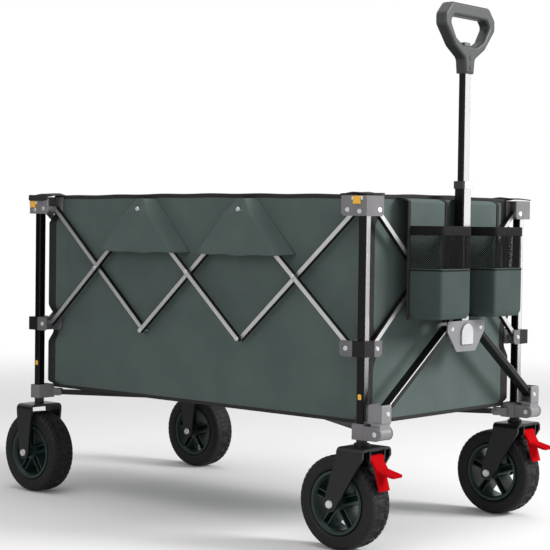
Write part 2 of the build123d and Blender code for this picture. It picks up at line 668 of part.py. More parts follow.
def rear_fork(flank):
    """Fixed fork on a short neck under the rear post."""
    corner = f"rear_{flank}"
    x, y = post_xy(corner)
    with BuildPart() as fork:
        fork_body(corner, 0, 24)
        with BuildSketch(Plane(origin=(x, y, FORK_TOP))):
            Circle(10)
        extrude(amount=FOOT_BOTTOM - FORK_TOP)
    save(f"rear_fork_{flank}", fork.part)


PEDAL_PIN = (30, 170)            # pedal pin ahead of the post, and its height
TAB_Y = 21


def caster_fork(flank):
    """Swivel fork with its stem, and the two tabs and pin of the brake pedal."""
    corner = f"front_{flank}"
    x, y = post_xy(corner)
    with BuildPart() as fork:
        fork_body(corner, CASTER_TRAIL, 34)
        with BuildSketch(Plane(origin=(x, y, FORK_TOP))):
            Circle(14)
        extrude(amount=5)
        with BuildSketch(Plane(origin=(x, y, FORK_TOP))):
            Circle(10)
        extrude(amount=FOOT_BOTTOM - FORK_TOP - GAP)
        with BuildSketch(Plane(origin=(x, y, FORK_TOP))):
            Circle(STEM_R)
        extrude(amount=FOOT_TOP - FORK_TOP - 6)
        for out in (-1, 1):
            with BuildSketch(Plane(origin=(x, y + out * TAB_Y, 0), x_dir=(1, 0, 0), z_dir=(0, -1, 0))):
                with Locations((PEDAL_PIN[0] - 6, PEDAL_PIN[1] + 6)):
                    Rectangle(24, 16)
                with Locations(PEDAL_PIN):
                    Circle(6)
            extrude(amount=1.5, both=True)
        with BuildSketch(Plane(origin=(x, y - TAB_Y - 3, 0), x_dir=(1, 0, 0), z_dir=(0, -1, 0))):
            with Locations(PEDAL_PIN):
                Circle(PIN_R)
        extrude(amount=-2 * TAB_Y - 6)
    save(f"caster_fork_{flank}", fork.part)


def brake_pedal(flank):
    """Red foot pedal with the zinc plate that bears on the tyre."""
    x, y = post_xy(f"front_{flank}")
    px, pz = PEDAL_PIN
    plane = Plane(origin=(x, y, 0), x_dir=(1, 0, 0), z_dir=(0, -1, 0))
    with BuildPart() as pedal:
        with BuildSketch(plane):
            with BuildLine() as path:
                Polyline((px, pz + 4), (px + 16, pz - 20), (PEDAL_REACH - 1, pz - 28))
            trace(path.line, 4)
        extrude(amount=16, both=True)
        lip = pedal.faces().sort_by(Axis.X)[-1]
        chamfer(lip.edges().sort_by(SortBy.LENGTH)[:2], 4)
        with BuildSketch(plane):
            with Locations((px, pz)):
                Circle(6)
        extrude(amount=TAB_Y - 2, both=True)
        with BuildSketch(plane):
            with BuildLine() as path:
                Polyline((px + 10, pz - 14), (px + 22, pz - 56))
            trace(path.line, 3)
        extrude(amount=14, both=True)
        with BuildSketch(plane):
            with Locations((px, pz)):
                Circle(PIN_R + FIT)
        extrude(amount=40, both=True, mode=Mode.SUBTRACT)
    save(f"brake_pedal_{flank}", pedal.part)


HUB_HALF = 36
SPOKES = 5


def wheel_centre(corner):
    x, y = post_xy(corner)
    return Vector(x - (CASTER_TRAIL if CORNERS[corner][0] > 0 else 0), y, TYRE_R)


def wheel(corner):
    """Plastic rim: ring with lips, hub on the axle, five twin spokes with a web between."""
    centre = wheel_centre(corner)
    flat = Plane(origin=centre, x_dir=(1, 0, 0), z_dir=(0, -1, 0))
    with BuildPart() as rim:
        with BuildSketch(Plane(origin=centre, x_dir=(0, 1, 0), z_dir=(1, 0, 0))):
            with BuildLine():
                Polyline((-25, RIM_R), (-25, RIM_R - 5), (-20, RIM_R - 8), (20, RIM_R - 8),
                         (25, RIM_R - 5), (25, RIM_R), close=True)
            make_face()
        revolve(axis=Axis(centre, (0, 1, 0)))
        with BuildSketch(flat):
            Circle(15)
        extrude(amount=24, both=True)
        with BuildSketch(flat):
            Circle(9)
        extrude(amount=HUB_HALF, both=True)
        with BuildSketch(flat):
            with PolarLocations(0, SPOKES, start_angle=90):
                with Locations((RIM_R / 2 + 3, 6), (RIM_R / 2 + 3, -6)):
                    Rectangle(RIM_R - 22, 2.5)
        extrude(amount=19, both=True)
        with BuildSketch(flat):
            with PolarLocations(0, SPOKES, start_angle=90):
                with Locations((RIM_R / 2 + 3, 0)):
                    Rectangle(RIM_R - 22, 12)
        extrude(amount=4, both=True)
        with BuildSketch(flat):
            Circle(AXLE_R + FIT)
        extrude(amount=HUB_HALF, both=True, mode=Mode.SUBTRACT)
    save(f"wheel_{corner}", rim.part)


GROOVE_Y, GROOVE_HALF, GROOVE_DEPTH = 8, 1.5, 3


def tyre(corner):
    """Wide tyre with round shoulders and two grooves round the tread."""
    centre = wheel_centre(corner)
    half = TYRE_WIDTH / 2
    with BuildPart() as ring:
        with BuildSketch(Plane(origin=centre, x_dir=(0, 1, 0), z_dir=(1, 0, 0))):
            with BuildLine():
                Polyline((-half + 4, RIM_R), (half - 4, RIM_R), (half, RIM_R + 4), (half, TYRE_R - 12),
                         (half - 3, TYRE_R - 5), (half - 8, TYRE_R - 1), (half - 14, TYRE_R),
                         (-half + 14, TYRE_R), (-half + 8, TYRE_R - 1), (-half + 3, TYRE_R - 5),
                         (-half, TYRE_R - 12), (-half, RIM_R + 4), close=True)
            make_face()
            with Locations((-GROOVE_Y, TYRE_R), (GROOVE_Y, TYRE_R)):
                Rectangle(2 * GROOVE_HALF, 2 * GROOVE_DEPTH, mode=Mode.SUBTRACT)
        revolve(axis=Axis(centre, (0, 1, 0)))
    save(f"tyre_{corner}", ring.part)


# ---------------------------------------------------------------- fabric
TUB_X = POST_LENGTH - 18
TUB_Y = POST_WIDTH - 60
TUB_BOTTOM, TUB_TOP = 222, 632
CLOTH = 3


def fabric_tub():
    """Open tub inside the bars."""
    with BuildPart() as tub:
        with BuildSketch(Plane(origin=(CENTRE_X, 0, TUB_BOTTOM))):
            RectangleRounded(TUB_X, TUB_Y, 8)
        extrude(amount=TUB_TOP - TUB_BOTTOM)
        with BuildSketch(Plane(origin=(CENTRE_X, 0, TUB_BOTTOM + CLOTH))):
            RectangleRounded(TUB_X - 2 * CLOTH, TUB_Y - 2 * CLOTH, 5)
        extrude(amount=TUB_TOP, mode=Mode.SUBTRACT)
    save("fabric_tub", tub.part)


def floor_mat():
    """Folding floor mat: four boards on one sheet of cloth."""
    with BuildPart() as mat:
        with BuildSketch(Plane(origin=(CENTRE_X, 0, TUB_BOTTOM + CLOTH + GAP))):
            RectangleRounded(TUB_X - 16, TUB_Y - 16, 6)
        extrude(amount=1.5)
        with BuildSketch(Plane(origin=(CENTRE_X, 0, TUB_BOTTOM + CLOTH + GAP + 1.5))):
            with GridLocations((TUB_X - 12) / 4, 0, 4, 1):
                RectangleRounded((TUB_X - 12) / 4 - 5, TUB_Y - 16, 6)
        extrude(amount=4.5)
    save("floor_mat", mat.part)


POCKET_BACK = CENTRE_X + POST_LENGTH / 2 + 18
POCKET_Y = (20, 160)
POCKET_DEPTH = POCKET_REACH - 18
POCKET_Z = (408, 572)


def cup_pocket(flank):
    """Cup pocket hanging by its back panel in front of the end bars."""
    sy = FLANKS[flank]
    middle = sy * (POCKET_Y[0] + POCKET_Y[1]) / 2
    width = POCKET_Y[1] - POCKET_Y[0]
    with BuildPart() as pocket:
        with BuildSketch(Plane(origin=(POCKET_BACK + POCKET_DEPTH / 2, middle, POCKET_Z[0]))):
            Rectangle(POCKET_DEPTH, width)
            fillet(vertices().sort_by(Axis.X)[-2:], 30)
        extrude(amount=POCKET_Z[1] - POCKET_Z[0])
        with BuildSketch(Plane(origin=(POCKET_BACK + POCKET_DEPTH / 2, middle, POCKET_Z[0] + 2))):
            Rectangle(POCKET_DEPTH - 4, width - 4)
            fillet(vertices().sort_by(Axis.X)[-2:], 28)
        extrude(amount=POCKET_Z[1] - POCKET_Z[0], mode=Mode.SUBTRACT)
        with BuildSketch(across(POCKET_BACK)):
            with Locations((middle, (POCKET_Z[0] + TUB_TOP) / 2)):
                Rectangle(width, TUB_TOP - POCKET_Z[0])
        extrude(amount=2)
    save(f"cup_pocket_{flank}", pocket.part)


# ---------------------------------------------------------------- the wagon
for place in CORNERS:
    corner_post(place)
    slider(place)
    floor_bar(place)
    wheel(place)
    tyre(place)
for edge in ("right", "left"):
    side_scissors(edge)
for edge in ("front", "rear"):
    end_scissors(edge)
floor_hub()
for edge in FLANKS:
    strut_base(edge)
    drawbar_strut(edge)
    caster_fork(edge)
    rear_fork(edge)
    brake_pedal(edge)
    cup_pocket(edge)
drawbar_plate()
handle_outer_tube()
handle_inner_tube()
handle_grip()
grip_button()
fabric_tub()
floor_mat()
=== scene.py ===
"""Looks of a folding camp wagon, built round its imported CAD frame.

Metres, +Z up, +X towards the pull handle. Every place comes from the frame: the boxes of
its nodes, the places of its joints, and a few widths of cloth and tape named below.
"""

import json
import math

import bpy
import numpy as np
from mathutils import Matrix, Vector


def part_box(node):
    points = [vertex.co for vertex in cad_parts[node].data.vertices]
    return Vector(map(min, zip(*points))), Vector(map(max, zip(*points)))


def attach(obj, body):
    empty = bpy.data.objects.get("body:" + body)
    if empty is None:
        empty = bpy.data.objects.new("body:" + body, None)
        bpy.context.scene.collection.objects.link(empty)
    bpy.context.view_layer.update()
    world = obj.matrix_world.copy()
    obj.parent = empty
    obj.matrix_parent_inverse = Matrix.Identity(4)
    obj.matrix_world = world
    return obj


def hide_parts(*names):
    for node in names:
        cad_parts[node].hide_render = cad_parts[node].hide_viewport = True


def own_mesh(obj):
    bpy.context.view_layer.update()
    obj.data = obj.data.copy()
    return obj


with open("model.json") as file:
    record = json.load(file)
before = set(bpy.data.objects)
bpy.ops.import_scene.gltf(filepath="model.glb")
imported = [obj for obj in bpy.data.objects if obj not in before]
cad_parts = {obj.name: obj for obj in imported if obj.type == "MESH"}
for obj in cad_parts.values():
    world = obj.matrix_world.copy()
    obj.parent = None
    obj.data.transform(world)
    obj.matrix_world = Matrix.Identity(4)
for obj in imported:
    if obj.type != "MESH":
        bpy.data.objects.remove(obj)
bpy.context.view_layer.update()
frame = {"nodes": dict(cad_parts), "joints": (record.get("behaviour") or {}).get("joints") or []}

# ------------------------------------------------------------------ places from the frame
JOINTS = {j["name"]: j for j in frame["joints"]}
MM = 0.001


def joint_at(name):
    return np.array(JOINTS[name]["pos_m"])


def low(node):
    return np.array(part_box(node)[0])


def high(node):
    return np.array(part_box(node)[1])


POST_X, POST_Y = joint_at("caster_swivel_left")[:2]
PIVOT_X, _, PIVOT_TOP = np.abs(joint_at("frame_fold"))
UNIT = 2 * PIVOT_X / 3                       # width of one side cross
CROSS_Z = joint_at("right_link_1_up_turn")[2]
PIVOT_LOW = 2 * CROSS_Z - PIVOT_TOP
PIVOT_Y = abs(joint_at("front_link_right_down_turn")[1])
TUB_X, TUB_Y, RIM_Z = high("fabric_tub")
BASE_Z = low("fabric_tub")[2]
CORNERS = {
    "rear_right": (-1, -1),
    "front_right": (1, -1),
    "front_left": (1, 1),
    "rear_left": (-1, 1),
}
SIDES = ("right", "left", "front", "rear")
POST_OF = {                                  # the post that a side's cloth rides on
    "right": "post_rear_right",
    "left": "post_rear_left",
    "front": "post_front_right",
    "rear": "post_rear_right",
}
CLOTH = 1.2 * MM
TAPE = 1.4 * MM


# ------------------------------------------------------------------ small maths
def smooth(t):
    """Smoothstep of a value clipped to 0..1."""
    t = np.clip(t, 0, 1)
    return t * t * (3 - 2 * t)


def grid(rows, cols, low_u=0.0, high_u=1.0, low_v=0.0, high_v=1.0):
    """Two arrays of parameters, u down the rows and v along the columns."""
    u, v = np.linspace(low_u, high_u, rows), np.linspace(low_v, high_v, cols)
    return np.meshgrid(u, v, indexing="ij")


def waves(a, b, seed, count, length):
    """Sum of `count` slanted sine waves of about `length` metres, between -1 and 1."""
    random = np.random.default_rng(seed)
    total = np.zeros_like(a)
    for turn, stretch, shift in zip(random.uniform(0, math.tau, count), random.uniform(0.6, 1.7, count),
                                    random.uniform(0, math.tau, count)):
        total += np.sin((a * math.cos(turn) + b * math.sin(turn)) * math.tau / (length * stretch) + shift)
    return total / count


# ------------------------------------------------------------------ meshes
def arc_lengths(points, axis):
    """Distance along the middle line of a grid, one value for each row or column."""
    line = points[:, points.shape[1] // 2] if axis == 0 else points[points.shape[0] // 2]
    return np.concatenate([[0], np.cumsum(np.linalg.norm(np.diff(line, axis=0), axis=1))])


def surface(name, points, material, around=False, flip=False, caps=False, thick=0.0, uv=None):
    """Mesh through a grid of points; its UV is the distance along both directions, in metres.

    `around` joins the last column to the first, `caps` closes both end rows, `thick` is
    the thickness put on the inner side, and `uv` gives other distances, one pair a point.
    """
    rows, cols = points.shape[:2]
    wide = np.concatenate([points, points[:, :1]], 1) if around else points
    index = np.arange(rows * cols).reshape(rows, cols)
    index = np.concatenate([index, index[:, :1]], 1) if around else index
    corner = [(0, 0), (1, 0), (1, 1), (0, 1)]
    corner = corner[::-1] if flip else corner
    n, m = rows - 1, wide.shape[1] - 1
    faces = np.stack([index[i:n + i, j:m + j] for i, j in corner], -1).reshape(-1, 4).tolist()
    if caps:
        rings = [index[0, :cols], index[-1, :cols][::-1]]
        faces += [list(map(int, ring[::-1] if flip else ring)) for ring in rings]
    mesh = bpy.data.meshes.new(name)
    mesh.from_pydata(points.reshape(-1, 3).tolist(), [], faces)
    if uv is None:
        uv = np.stack(np.meshgrid(arc_lengths(wide, 0), arc_lengths(wide, 1), indexing="ij"), -1)
    flat = np.stack([uv[i:n + i, j:m + j] for i, j in corner], 2).reshape(-1, 2)
    spare = len(mesh.loops) - len(flat)
    layer = mesh.uv_layers.new(name="UVMap")
    layer.data.foreach_set("uv", np.concatenate([flat, np.zeros((spare, 2))]).ravel())
    mesh.polygons.foreach_set("use_smooth", np.full(len(mesh.polygons), True))
    mesh.materials.append(material)
    made = bpy.data.objects.new(name, mesh)
    bpy.context.scene.collection.objects.link(made)
    if thick:
        shell = made.modifiers.new("thickness", "SOLIDIFY")
        shell.thickness = thick
        shell.offset = -1
    return made


def rounded(width, height, corner):
    """Closed outline of a rounded rectangle about the origin, run anticlockwise."""
    w, h = width / 2 - corner, height / 2 - corner
    turns = np.linspace(0, math.pi / 2, 4)
    points = [
        np.stack([sx * w + corner * np.cos(turns + start), sy * h + corner * np.sin(turns + start)], -1)
        for sx, sy, start in ((1, 1, 0), (-1, 1, math.pi / 2), (-1, -1, math.pi), (1, -1, 1.5 * math.pi))
    ]
    return np.concatenate(points)


def sweep(name, path, outline, side, material):
    """A closed outline carried along a path: its X lies along `side`, its Y along tangent cross side."""
    path, outline = np.asarray(path, float), np.asarray(outline, float)
    tangent = np.gradient(path, axis=0)
    tangent /= np.linalg.norm(tangent, axis=1, keepdims=True)
    side = np.broadcast_to(np.asarray(side, float), path.shape)
    side = side - tangent * np.sum(side * tangent, 1, keepdims=True)
    side /= np.linalg.norm(side, axis=1, keepdims=True)
    up = np.cross(tangent, side)
    points = path[:, None] + side[:, None] * outline[None, :, :1] + up[:, None] * outline[None, :, 1:]
    return surface(name, points, material, around=True, caps=True, flip=True)


def on_side(side, along, height, out):
    """Points beside a wagon side: along it from the middle, height, outward from the tub."""
    along, height, out = np.broadcast_arrays(along, height, out)
    sign = -1 if side in ("right", "rear") else 1
    if side in ("right", "left"):
        return np.stack([along, sign * (TUB_Y + out), height], -1)
    return np.stack([sign * (TUB_X + out), along, height], -1)


def outward(side):
    return {"right": (0, -1, 0), "left": (0, 1, 0), "front": (1, 0, 0), "rear": (-1, 0, 0)}[side]


def fold_with(piece, side):
    """The piece rides its side's post."""
    body = POST_OF[side]
    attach(piece, body)
    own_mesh(piece)
    return piece


# ------------------------------------------------------------------ materials
def linear(hex_colour):
    """sRGB hex to a linear RGBA colour."""
    values = [int(hex_colour[i:i + 2], 16) / 255 for i in (1, 3, 5)]
    return [v / 12.92 if v <= 0.04045 else ((v + 0.055) / 1.055) ** 2.4 for v in values] + [1.0]


def add(tree, kind, settings=None, links=None):
    """Adds a shader node with its settings (input or property) and its incoming links."""
    made = tree.nodes.new("ShaderNode" + kind)
    for key, value in (settings or {}).items():
        if isinstance(key, int) or key in made.inputs:
            made.inputs[key].default_value = value
        else:
            setattr(made, key, value)
    for key, source in (links or {}).items():
        tree.links.new(source, made.inputs[key])
    return made


def finish(name, colour, roughness, metallic=0.0, **more):
    """A Principled material; returns it with its tree and shader node."""
    material = bpy.data.materials.new(name)
    material.use_nodes = True
    shader = material.node_tree.nodes["Principled BSDF"]
    shader.inputs["Base Color"].default_value = linear(colour)
    shader.inputs["Roughness"].default_value = roughness
    shader.inputs["Metallic"].default_value = metallic
    for key, value in more.items():
        shader.inputs[key.replace("_", " ")].default_value = value
    return material, material.node_tree, shader


def mottle(tree, shader, place, size, low_colour, high_colour, spread):
    """Noise of cells `size` metres wide that drifts the colour between two tones."""
    noise = add(tree, "TexNoise", {"Scale": 1 / size, "Detail": 3.0}, {"Vector": place})
    shade = add(tree, "ValToRGB", None, {"Fac": noise.outputs["Fac"]})
    shade.color_ramp.elements[0].position = 0.5 - spread
    shade.color_ramp.elements[0].color = linear(low_colour)
    shade.color_ramp.elements[1].position = 0.5 + spread
    shade.color_ramp.elements[1].color = linear(high_colour)
    tree.links.new(shade.outputs["Color"], shader.inputs["Base Color"])


def coated_metal(name, dark, light, roughness, metallic, grain=0.9 * MM, bump=0.25, **more):
    """Coated steel: fine orange-peel relief and a faint drift of tone over the sheet."""
    material, tree, shader = finish(name, light, roughness, metallic, **more)
    place = add(tree, "TexCoord").outputs["Object"]
    mottle(tree, shader, place, 30 * MM, dark, light, 0.3)
    peel = add(tree, "TexNoise", {"Scale": 1 / grain, "Detail": 2.0}, {"Vector": place})
    relief = add(tree, "Bump", {"Strength": bump, "Distance": 0.02 * MM}, {"Height": peel.outputs["Fac"]})
    tree.links.new(relief.outputs["Normal"], shader.inputs["Normal"])
    return material


def bands(length):
    """Scale of a wave texture whose bands lie `length` metres apart."""
    return math.tau / (20 * length)


def woven(name, dark, light, wave=3.14 * MM, crease=0.5, **more):
    """Woven cloth: two crossing waves on the piece's own UV, with broad soft creases.

    A wave is a bundle of yarns, `wave` metres from crest to crest, and gives the dull grain.
    The creases give the slow light and dark of coated polyester.
    """
    material, tree, shader = finish(name, light, 0.85, **more)
    uv = add(tree, "UVMap", {"uv_map": "UVMap"}).outputs["UV"]
    mottle(tree, shader, uv, 90 * MM, dark, light, 0.25)
    yarns = []
    for direction in ("X", "Y"):
        settings = {"bands_direction": direction, "Scale": bands(wave), "Distortion": 0.4}
        yarns.append(add(tree, "TexWave", settings, {"Vector": uv}).outputs["Fac"])
    weave = add(tree, "Math", {"operation": "MULTIPLY"}, {0: yarns[0], 1: yarns[1]})
    fine = add(tree, "Bump", {"Strength": 0.6, "Distance": 0.05 * MM}, {"Height": weave.outputs[0]})
    folds = add(tree, "TexNoise", {"Scale": 1 / (45 * MM), "Detail": 4.0, "Distortion": 0.8}, {"Vector": uv})
    broad = add(tree, "Bump", {"Strength": crease, "Distance": 1.2 * MM},
                {"Height": folds.outputs["Fac"], "Normal": fine.outputs["Normal"]})
    tree.links.new(broad.outputs["Normal"], shader.inputs["Normal"])
    return material


RIB_PITCH = 10 * MM


def webbing(name, colour, thread):
    """Tape on the piece's own UV: soft ribs across it, tone drifting from tape to thread."""
    material, tree, shader = finish(name, colour, 0.8, Specular_IOR_Level=0.15)
    uv = add(tree, "UVMap", {"uv_map": "UVMap"}).outputs["UV"]
    ribs = add(tree, "TexWave", {"bands_direction": "X", "Scale": bands(RIB_PITCH)}, {"Vector": uv})
    relief = add(tree, "Bump", {"Strength": 0.5, "Distance": 0.15 * MM}, {"Height": ribs.outputs["Fac"]})
    tree.links.new(relief.outputs["Normal"], shader.inputs["Normal"])
    mottle(tree, shader, uv, 12 * MM, colour, thread, 0.3)
    return material


MESH_CELL = 2.8 * MM
MESH_THREAD = 0.27           # share of a cell that its thread covers


def netting(name, colour):
    """Knitted mesh: threads along both diagonals of the piece's own UV, with clear holes between."""
    material, tree, shader = finish(name, colour, 0.8, Specular_IOR_Level=0.1)
    uv = add(tree, "UVMap", {"uv_map": "UVMap"}).outputs["UV"]
    parts = add(tree, "SeparateXYZ", None, {0: uv})
    holes = []
    for operation in ("ADD", "SUBTRACT"):
        diagonal = add(tree, "Math", {"operation": operation}, {0: parts.outputs["X"], 1: parts.outputs["Y"]})
        cells = add(tree, "Math", {"operation": "DIVIDE", 1: MESH_CELL * 1.414}, {0: diagonal.outputs[0]})
        share = add(tree, "Math", {"operation": "PINGPONG", 1: 0.5}, {0: cells.outputs[0]})
        clear_of_thread = {"operation": "GREATER_THAN", 1: MESH_THREAD / 2}
        holes.append(add(tree, "Math", clear_of_thread, {0: share.outputs[0]}).outputs[0])
    hole = add(tree, "Math", {"operation": "MULTIPLY"}, {0: holes[0], 1: holes[1]})
    clear = add(tree, "BsdfTransparent")
    both = add(tree, "MixShader", None, {0: hole.outputs[0], 1: shader.outputs[0], 2: clear.outputs[0]})
    tree.links.new(both.outputs[0], tree.nodes["Material Output"].inputs["Surface"])
    return material


# powder-coated tube: a smooth black gloss that mirrors the softboxes as clean strips
FRAME_BLACK = coated_metal("powder_coated_steel_black", "#060606", "#090909", 0.24, 0.0,
                           Specular_IOR_Level=0.15)
# flat-oval bar: black coat all round; its wide faces get a light metallic grey, a painted reflection standing
# in for the bright studio they mirror
BAR_PAINTED_SHEEN = coated_metal("satin_grey_coated_bar_face", "#bdbbbc", "#c9c8c9", 0.42, 0.85, bump=0.4)
# the rolled edges of the bars are black and take only a thin light line
BAR_EDGE = coated_metal("black_coated_bar_edge", "#070707", "#0b0b0b", 0.35, 0.0,
                        Specular_IOR_Level=0.25)
# pressed bracket: matt gunmetal paint, its tone drifting a little over the sheet
BRACKET = coated_metal("gunmetal_coated_bracket", "#706e70", "#7c7a7c", 0.6, 0.0, bump=0.5,
                       Specular_IOR_Level=0.0)
# drawbar plate and strut sockets: the same grey steel under a thin clear coat, so it shines a little
PLATE = coated_metal("clear_coated_steel_plate", "#717174", "#7d7d80", 0.45, 0.15, bump=0.5)
BLOCK_HALF = 16.5 * MM       # half the black sliding block's plan
BLOCK_OUT = 5 * MM           # its middle stands this far outside the post's


def slider_coat():
    """Slider finish: gunmetal cheeks beside a black block that runs on the post.

    The block's edge is a step on the larger of the two distances from the block's middle.
    """
    material, tree, shader = finish("slider_block_and_cheeks", "#636164", 0.42, 0.1, Specular_IOR_Level=0.25)
    place = add(tree, "TexCoord").outputs["Object"]
    parts = add(tree, "SeparateXYZ", None, {0: place})
    far = []
    for axis, centre in (("X", POST_X), ("Y", POST_Y)):
        level = add(tree, "Math", {"operation": "ABSOLUTE"}, {0: parts.outputs[axis]})
        gap = add(tree, "Math", {"operation": "SUBTRACT", 1: centre + BLOCK_OUT}, {0: level.outputs[0]})
        far.append(add(tree, "Math", {"operation": "ABSOLUTE"}, {0: gap.outputs[0]}).outputs[0])
    reach = add(tree, "Math", {"operation": "MAXIMUM"}, {0: far[0], 1: far[1]})
    edge = {"From Min": BLOCK_HALF, "From Max": BLOCK_HALF + 0.4 * MM}
    step = add(tree, "MapRange", edge, {"Value": reach.outputs[0]})
    tone = add(tree, "ValToRGB", None, {"Fac": step.outputs[0]})
    tone.color_ramp.elements[0].color = linear("#0b0b0c")
    tone.color_ramp.elements[1].color = linear("#636164")
    tree.links.new(tone.outputs["Color"], shader.inputs["Base Color"])
    peel = add(tree, "TexNoise", {"Scale": 1 / (0.9 * MM)}, {"Vector": place})
    relief = add(tree, "Bump", {"Strength": 0.3, "Distance": 0.02 * MM}, {"Height": peel.outputs["Fac"]})
    tree.links.new(relief.outputs["Normal"], shader.inputs["Normal"])
    return material


SLIDER = slider_coat()
# cold-headed rivets with bright zinc plating
ZINC = coated_metal("zinc_plated_rivet", "#b9bbbd", "#cfd1d2", 0.38, 0.6, grain=0.5 * MM)
# bent fork plate: black semi-gloss paint
FORK = coated_metal("black_painted_fork_plate", "#08080a", "#0e0e10", 0.36, 0.0, Specular_IOR_Level=0.3)
# injection-moulded red pedal: one strong red with hardly any shine
PEDAL = coated_metal("moulded_red_pedal", "#a50c12", "#b51016", 0.5, 0.0, Specular_IOR_Level=0.0)
# moulded grip: fine leather-like grain on a dark grey
GRIP = coated_metal("textured_grip_plastic", "#232526", "#2c2e2f", 0.48, 0.0, grain=1.2 * MM, bump=0.8)
# smooth grey thumb button, lighter than the grip round it
BUTTON = coated_metal("moulded_button_plastic", "#55585a", "#606365", 0.4, 0.0)
# wheel rim: dark green nylon with a soft moulded sheen
RIM = coated_metal("moulded_rim_plastic_green", "#182826", "#1e302d", 0.4, 0.0, Specular_IOR_Level=0.3)
# boss in the drawbar plate: matt pale plastic
PALE = coated_metal("pale_grey_moulding", "#a9abac", "#b8babb", 0.5, 0.0)
# tyre: matt black rubber, its fine pores catch a grey bloom
RUBBER = coated_metal("vulcanised_tyre_rubber", "#0c0c0d", "#141415", 0.62, 0.0, grain=0.7 * MM, bump=0.6,
                      Specular_IOR_Level=0.25)
# tub and flaps: grey-green polyester with a coated back, dull grain and slow creases
FABRIC = woven("coated_polyester_600_denier", "#475250", "#515d5a", Specular_IOR_Level=0.2)
# mat cover: a coarser and darker weave
LINING = woven("mat_cover_polyester", "#2b3232", "#343c3c", wave=3.77 * MM, Specular_IOR_Level=0.2)
# pockets: the same cloth as the tub, drawn tighter and darker
POCKET_CLOTH = woven("pocket_polyester_dark_teal", "#35403f", "#3d4947", Specular_IOR_Level=0.2)
# rim, base and corner binding: ribbed charcoal tape
BINDING = webbing("woven_binding_tape", "#262526", "#302f2f")
# elastic band over the pocket mouth and its seams: dense black knit
BAND = webbing("black_elastic_band", "#0c0c0d", "#141415")
# open diamond net that lets the panel show through
MESH = netting("knitted_polyester_mesh", "#0a0a0b")
# pull tabs and post marks: thick warm yellow tape
YELLOW = woven("yellow_pull_tape", "#dfa636", "#ecb544", wave=5.65 * MM, crease=0.1)
# end of the strap behind a pull tab
WHITE = woven("white_strap_end", "#cfcfca", "#dcdcd8", wave=5.65 * MM, crease=0.1)


# ------------------------------------------------------------------ materials of the CAD nodes
def triangles(node):
    """Vertex places and the vertex numbers of each triangle of a CAD node."""
    mesh = frame["nodes"][node].data
    places = np.zeros(len(mesh.vertices) * 3)
    mesh.vertices.foreach_get("co", places)
    corners = np.zeros(len(mesh.loops), int)
    mesh.loops.foreach_get("vertex_index", corners)
    return places.reshape(-1, 3), corners.reshape(-1, 3)


def paint(node, base, *zones):
    """Gives a CAD node its base material, and other materials where a zone's test holds."""
    mesh = frame["nodes"][node].data
    mesh.materials.clear()
    for material in (base, *[z[0] for z in zones]):
        mesh.materials.append(material)
    places, corners = triangles(node)
    faces = places[corners]
    normal = np.cross(faces[:, 1] - faces[:, 0], faces[:, 2] - faces[:, 0])
    normal /= np.maximum(np.linalg.norm(normal, axis=1, keepdims=True), 1e-12)
    number = np.zeros(len(faces), np.int32)
    for i, (_, test) in enumerate(zones):
        number[test(faces, normal)] = i + 1
    mesh.polygons.foreach_set("material_index", number)


RIVET_R = 4.8 * MM
BOLT_R = 8.5 * MM
FORK_HALF = 42.2 * MM        # outer face of a fork's plates from the wheel's middle plane
FIXING_Z = PIVOT_TOP - 3 * MM
LINE_Y = [(-PIVOT_X + i * UNIT / 2, z) for i in range(7) for z in (PIVOT_TOP, CROSS_Z, PIVOT_LOW)]
LINE_Y += [(sx * POST_X, FIXING_Z) for sx in (-1, 1)] + [tuple(joint_at("handle_tilt")[[0, 2]])]
STRUT_PINS = [joint_at(n) for n in JOINTS if "strut" in n or "drawbar" in n]
LINE_X = [(sy * y, z) for sy in (-1, 1) for y, z in
          [(PIVOT_Y, PIVOT_TOP), (PIVOT_Y, PIVOT_LOW), (PIVOT_Y - UNIT / 2, CROSS_Z)]
          + [(0, joint_at(n)[2]) for n in JOINTS if "link_left" in n and n.startswith("front")]
          + [(p[1], p[2]) for p in STRUT_PINS]]


def rivets(faces, _normal):
    """Triangles that lie wholly inside a rivet's radius round one of the pivot lines."""
    near = np.zeros(len(faces), bool)
    for lines, axes in ((LINE_Y, (0, 2)), (LINE_X, (1, 2))):
        flat = faces[:, :, axes]
        for line in lines:
            near |= (np.linalg.norm(flat - np.array(line), axis=2) < RIVET_R).all(1)
    return near


def bolt_heads(faces, _normal):
    """Triangles of the axle bolts' heads, outside the fork plates."""
    near = np.zeros(len(faces), bool)
    for wheel in JOINTS:
        if wheel.startswith("wheel_spin"):
            x, _, z = joint_at(wheel)
            beside = np.abs(np.abs(faces[:, :, 1]) - POST_Y) > FORK_HALF
            inside = np.linalg.norm(faces[:, :, (0, 2)] - np.array((x, z)), axis=2) < BOLT_R
            near |= (inside & beside).all(1)
    return near


def facing(axis):
    return lambda faces, normal: np.abs(normal[:, axis]) > 0.9


def painted_highlight_edge(faces, normal):
    """The rounded edge between a strut's front and its upper side, where a grey highlight is painted on the
    black coat.
    """
    return (normal[:, 0] > 0.25) & (normal[:, 2] > 0.2)


def above(z):
    return lambda faces, normal: faces[:, :, 2].min(1) > z


def below(z):
    return lambda faces, normal: faces[:, :, 2].max(1) < z


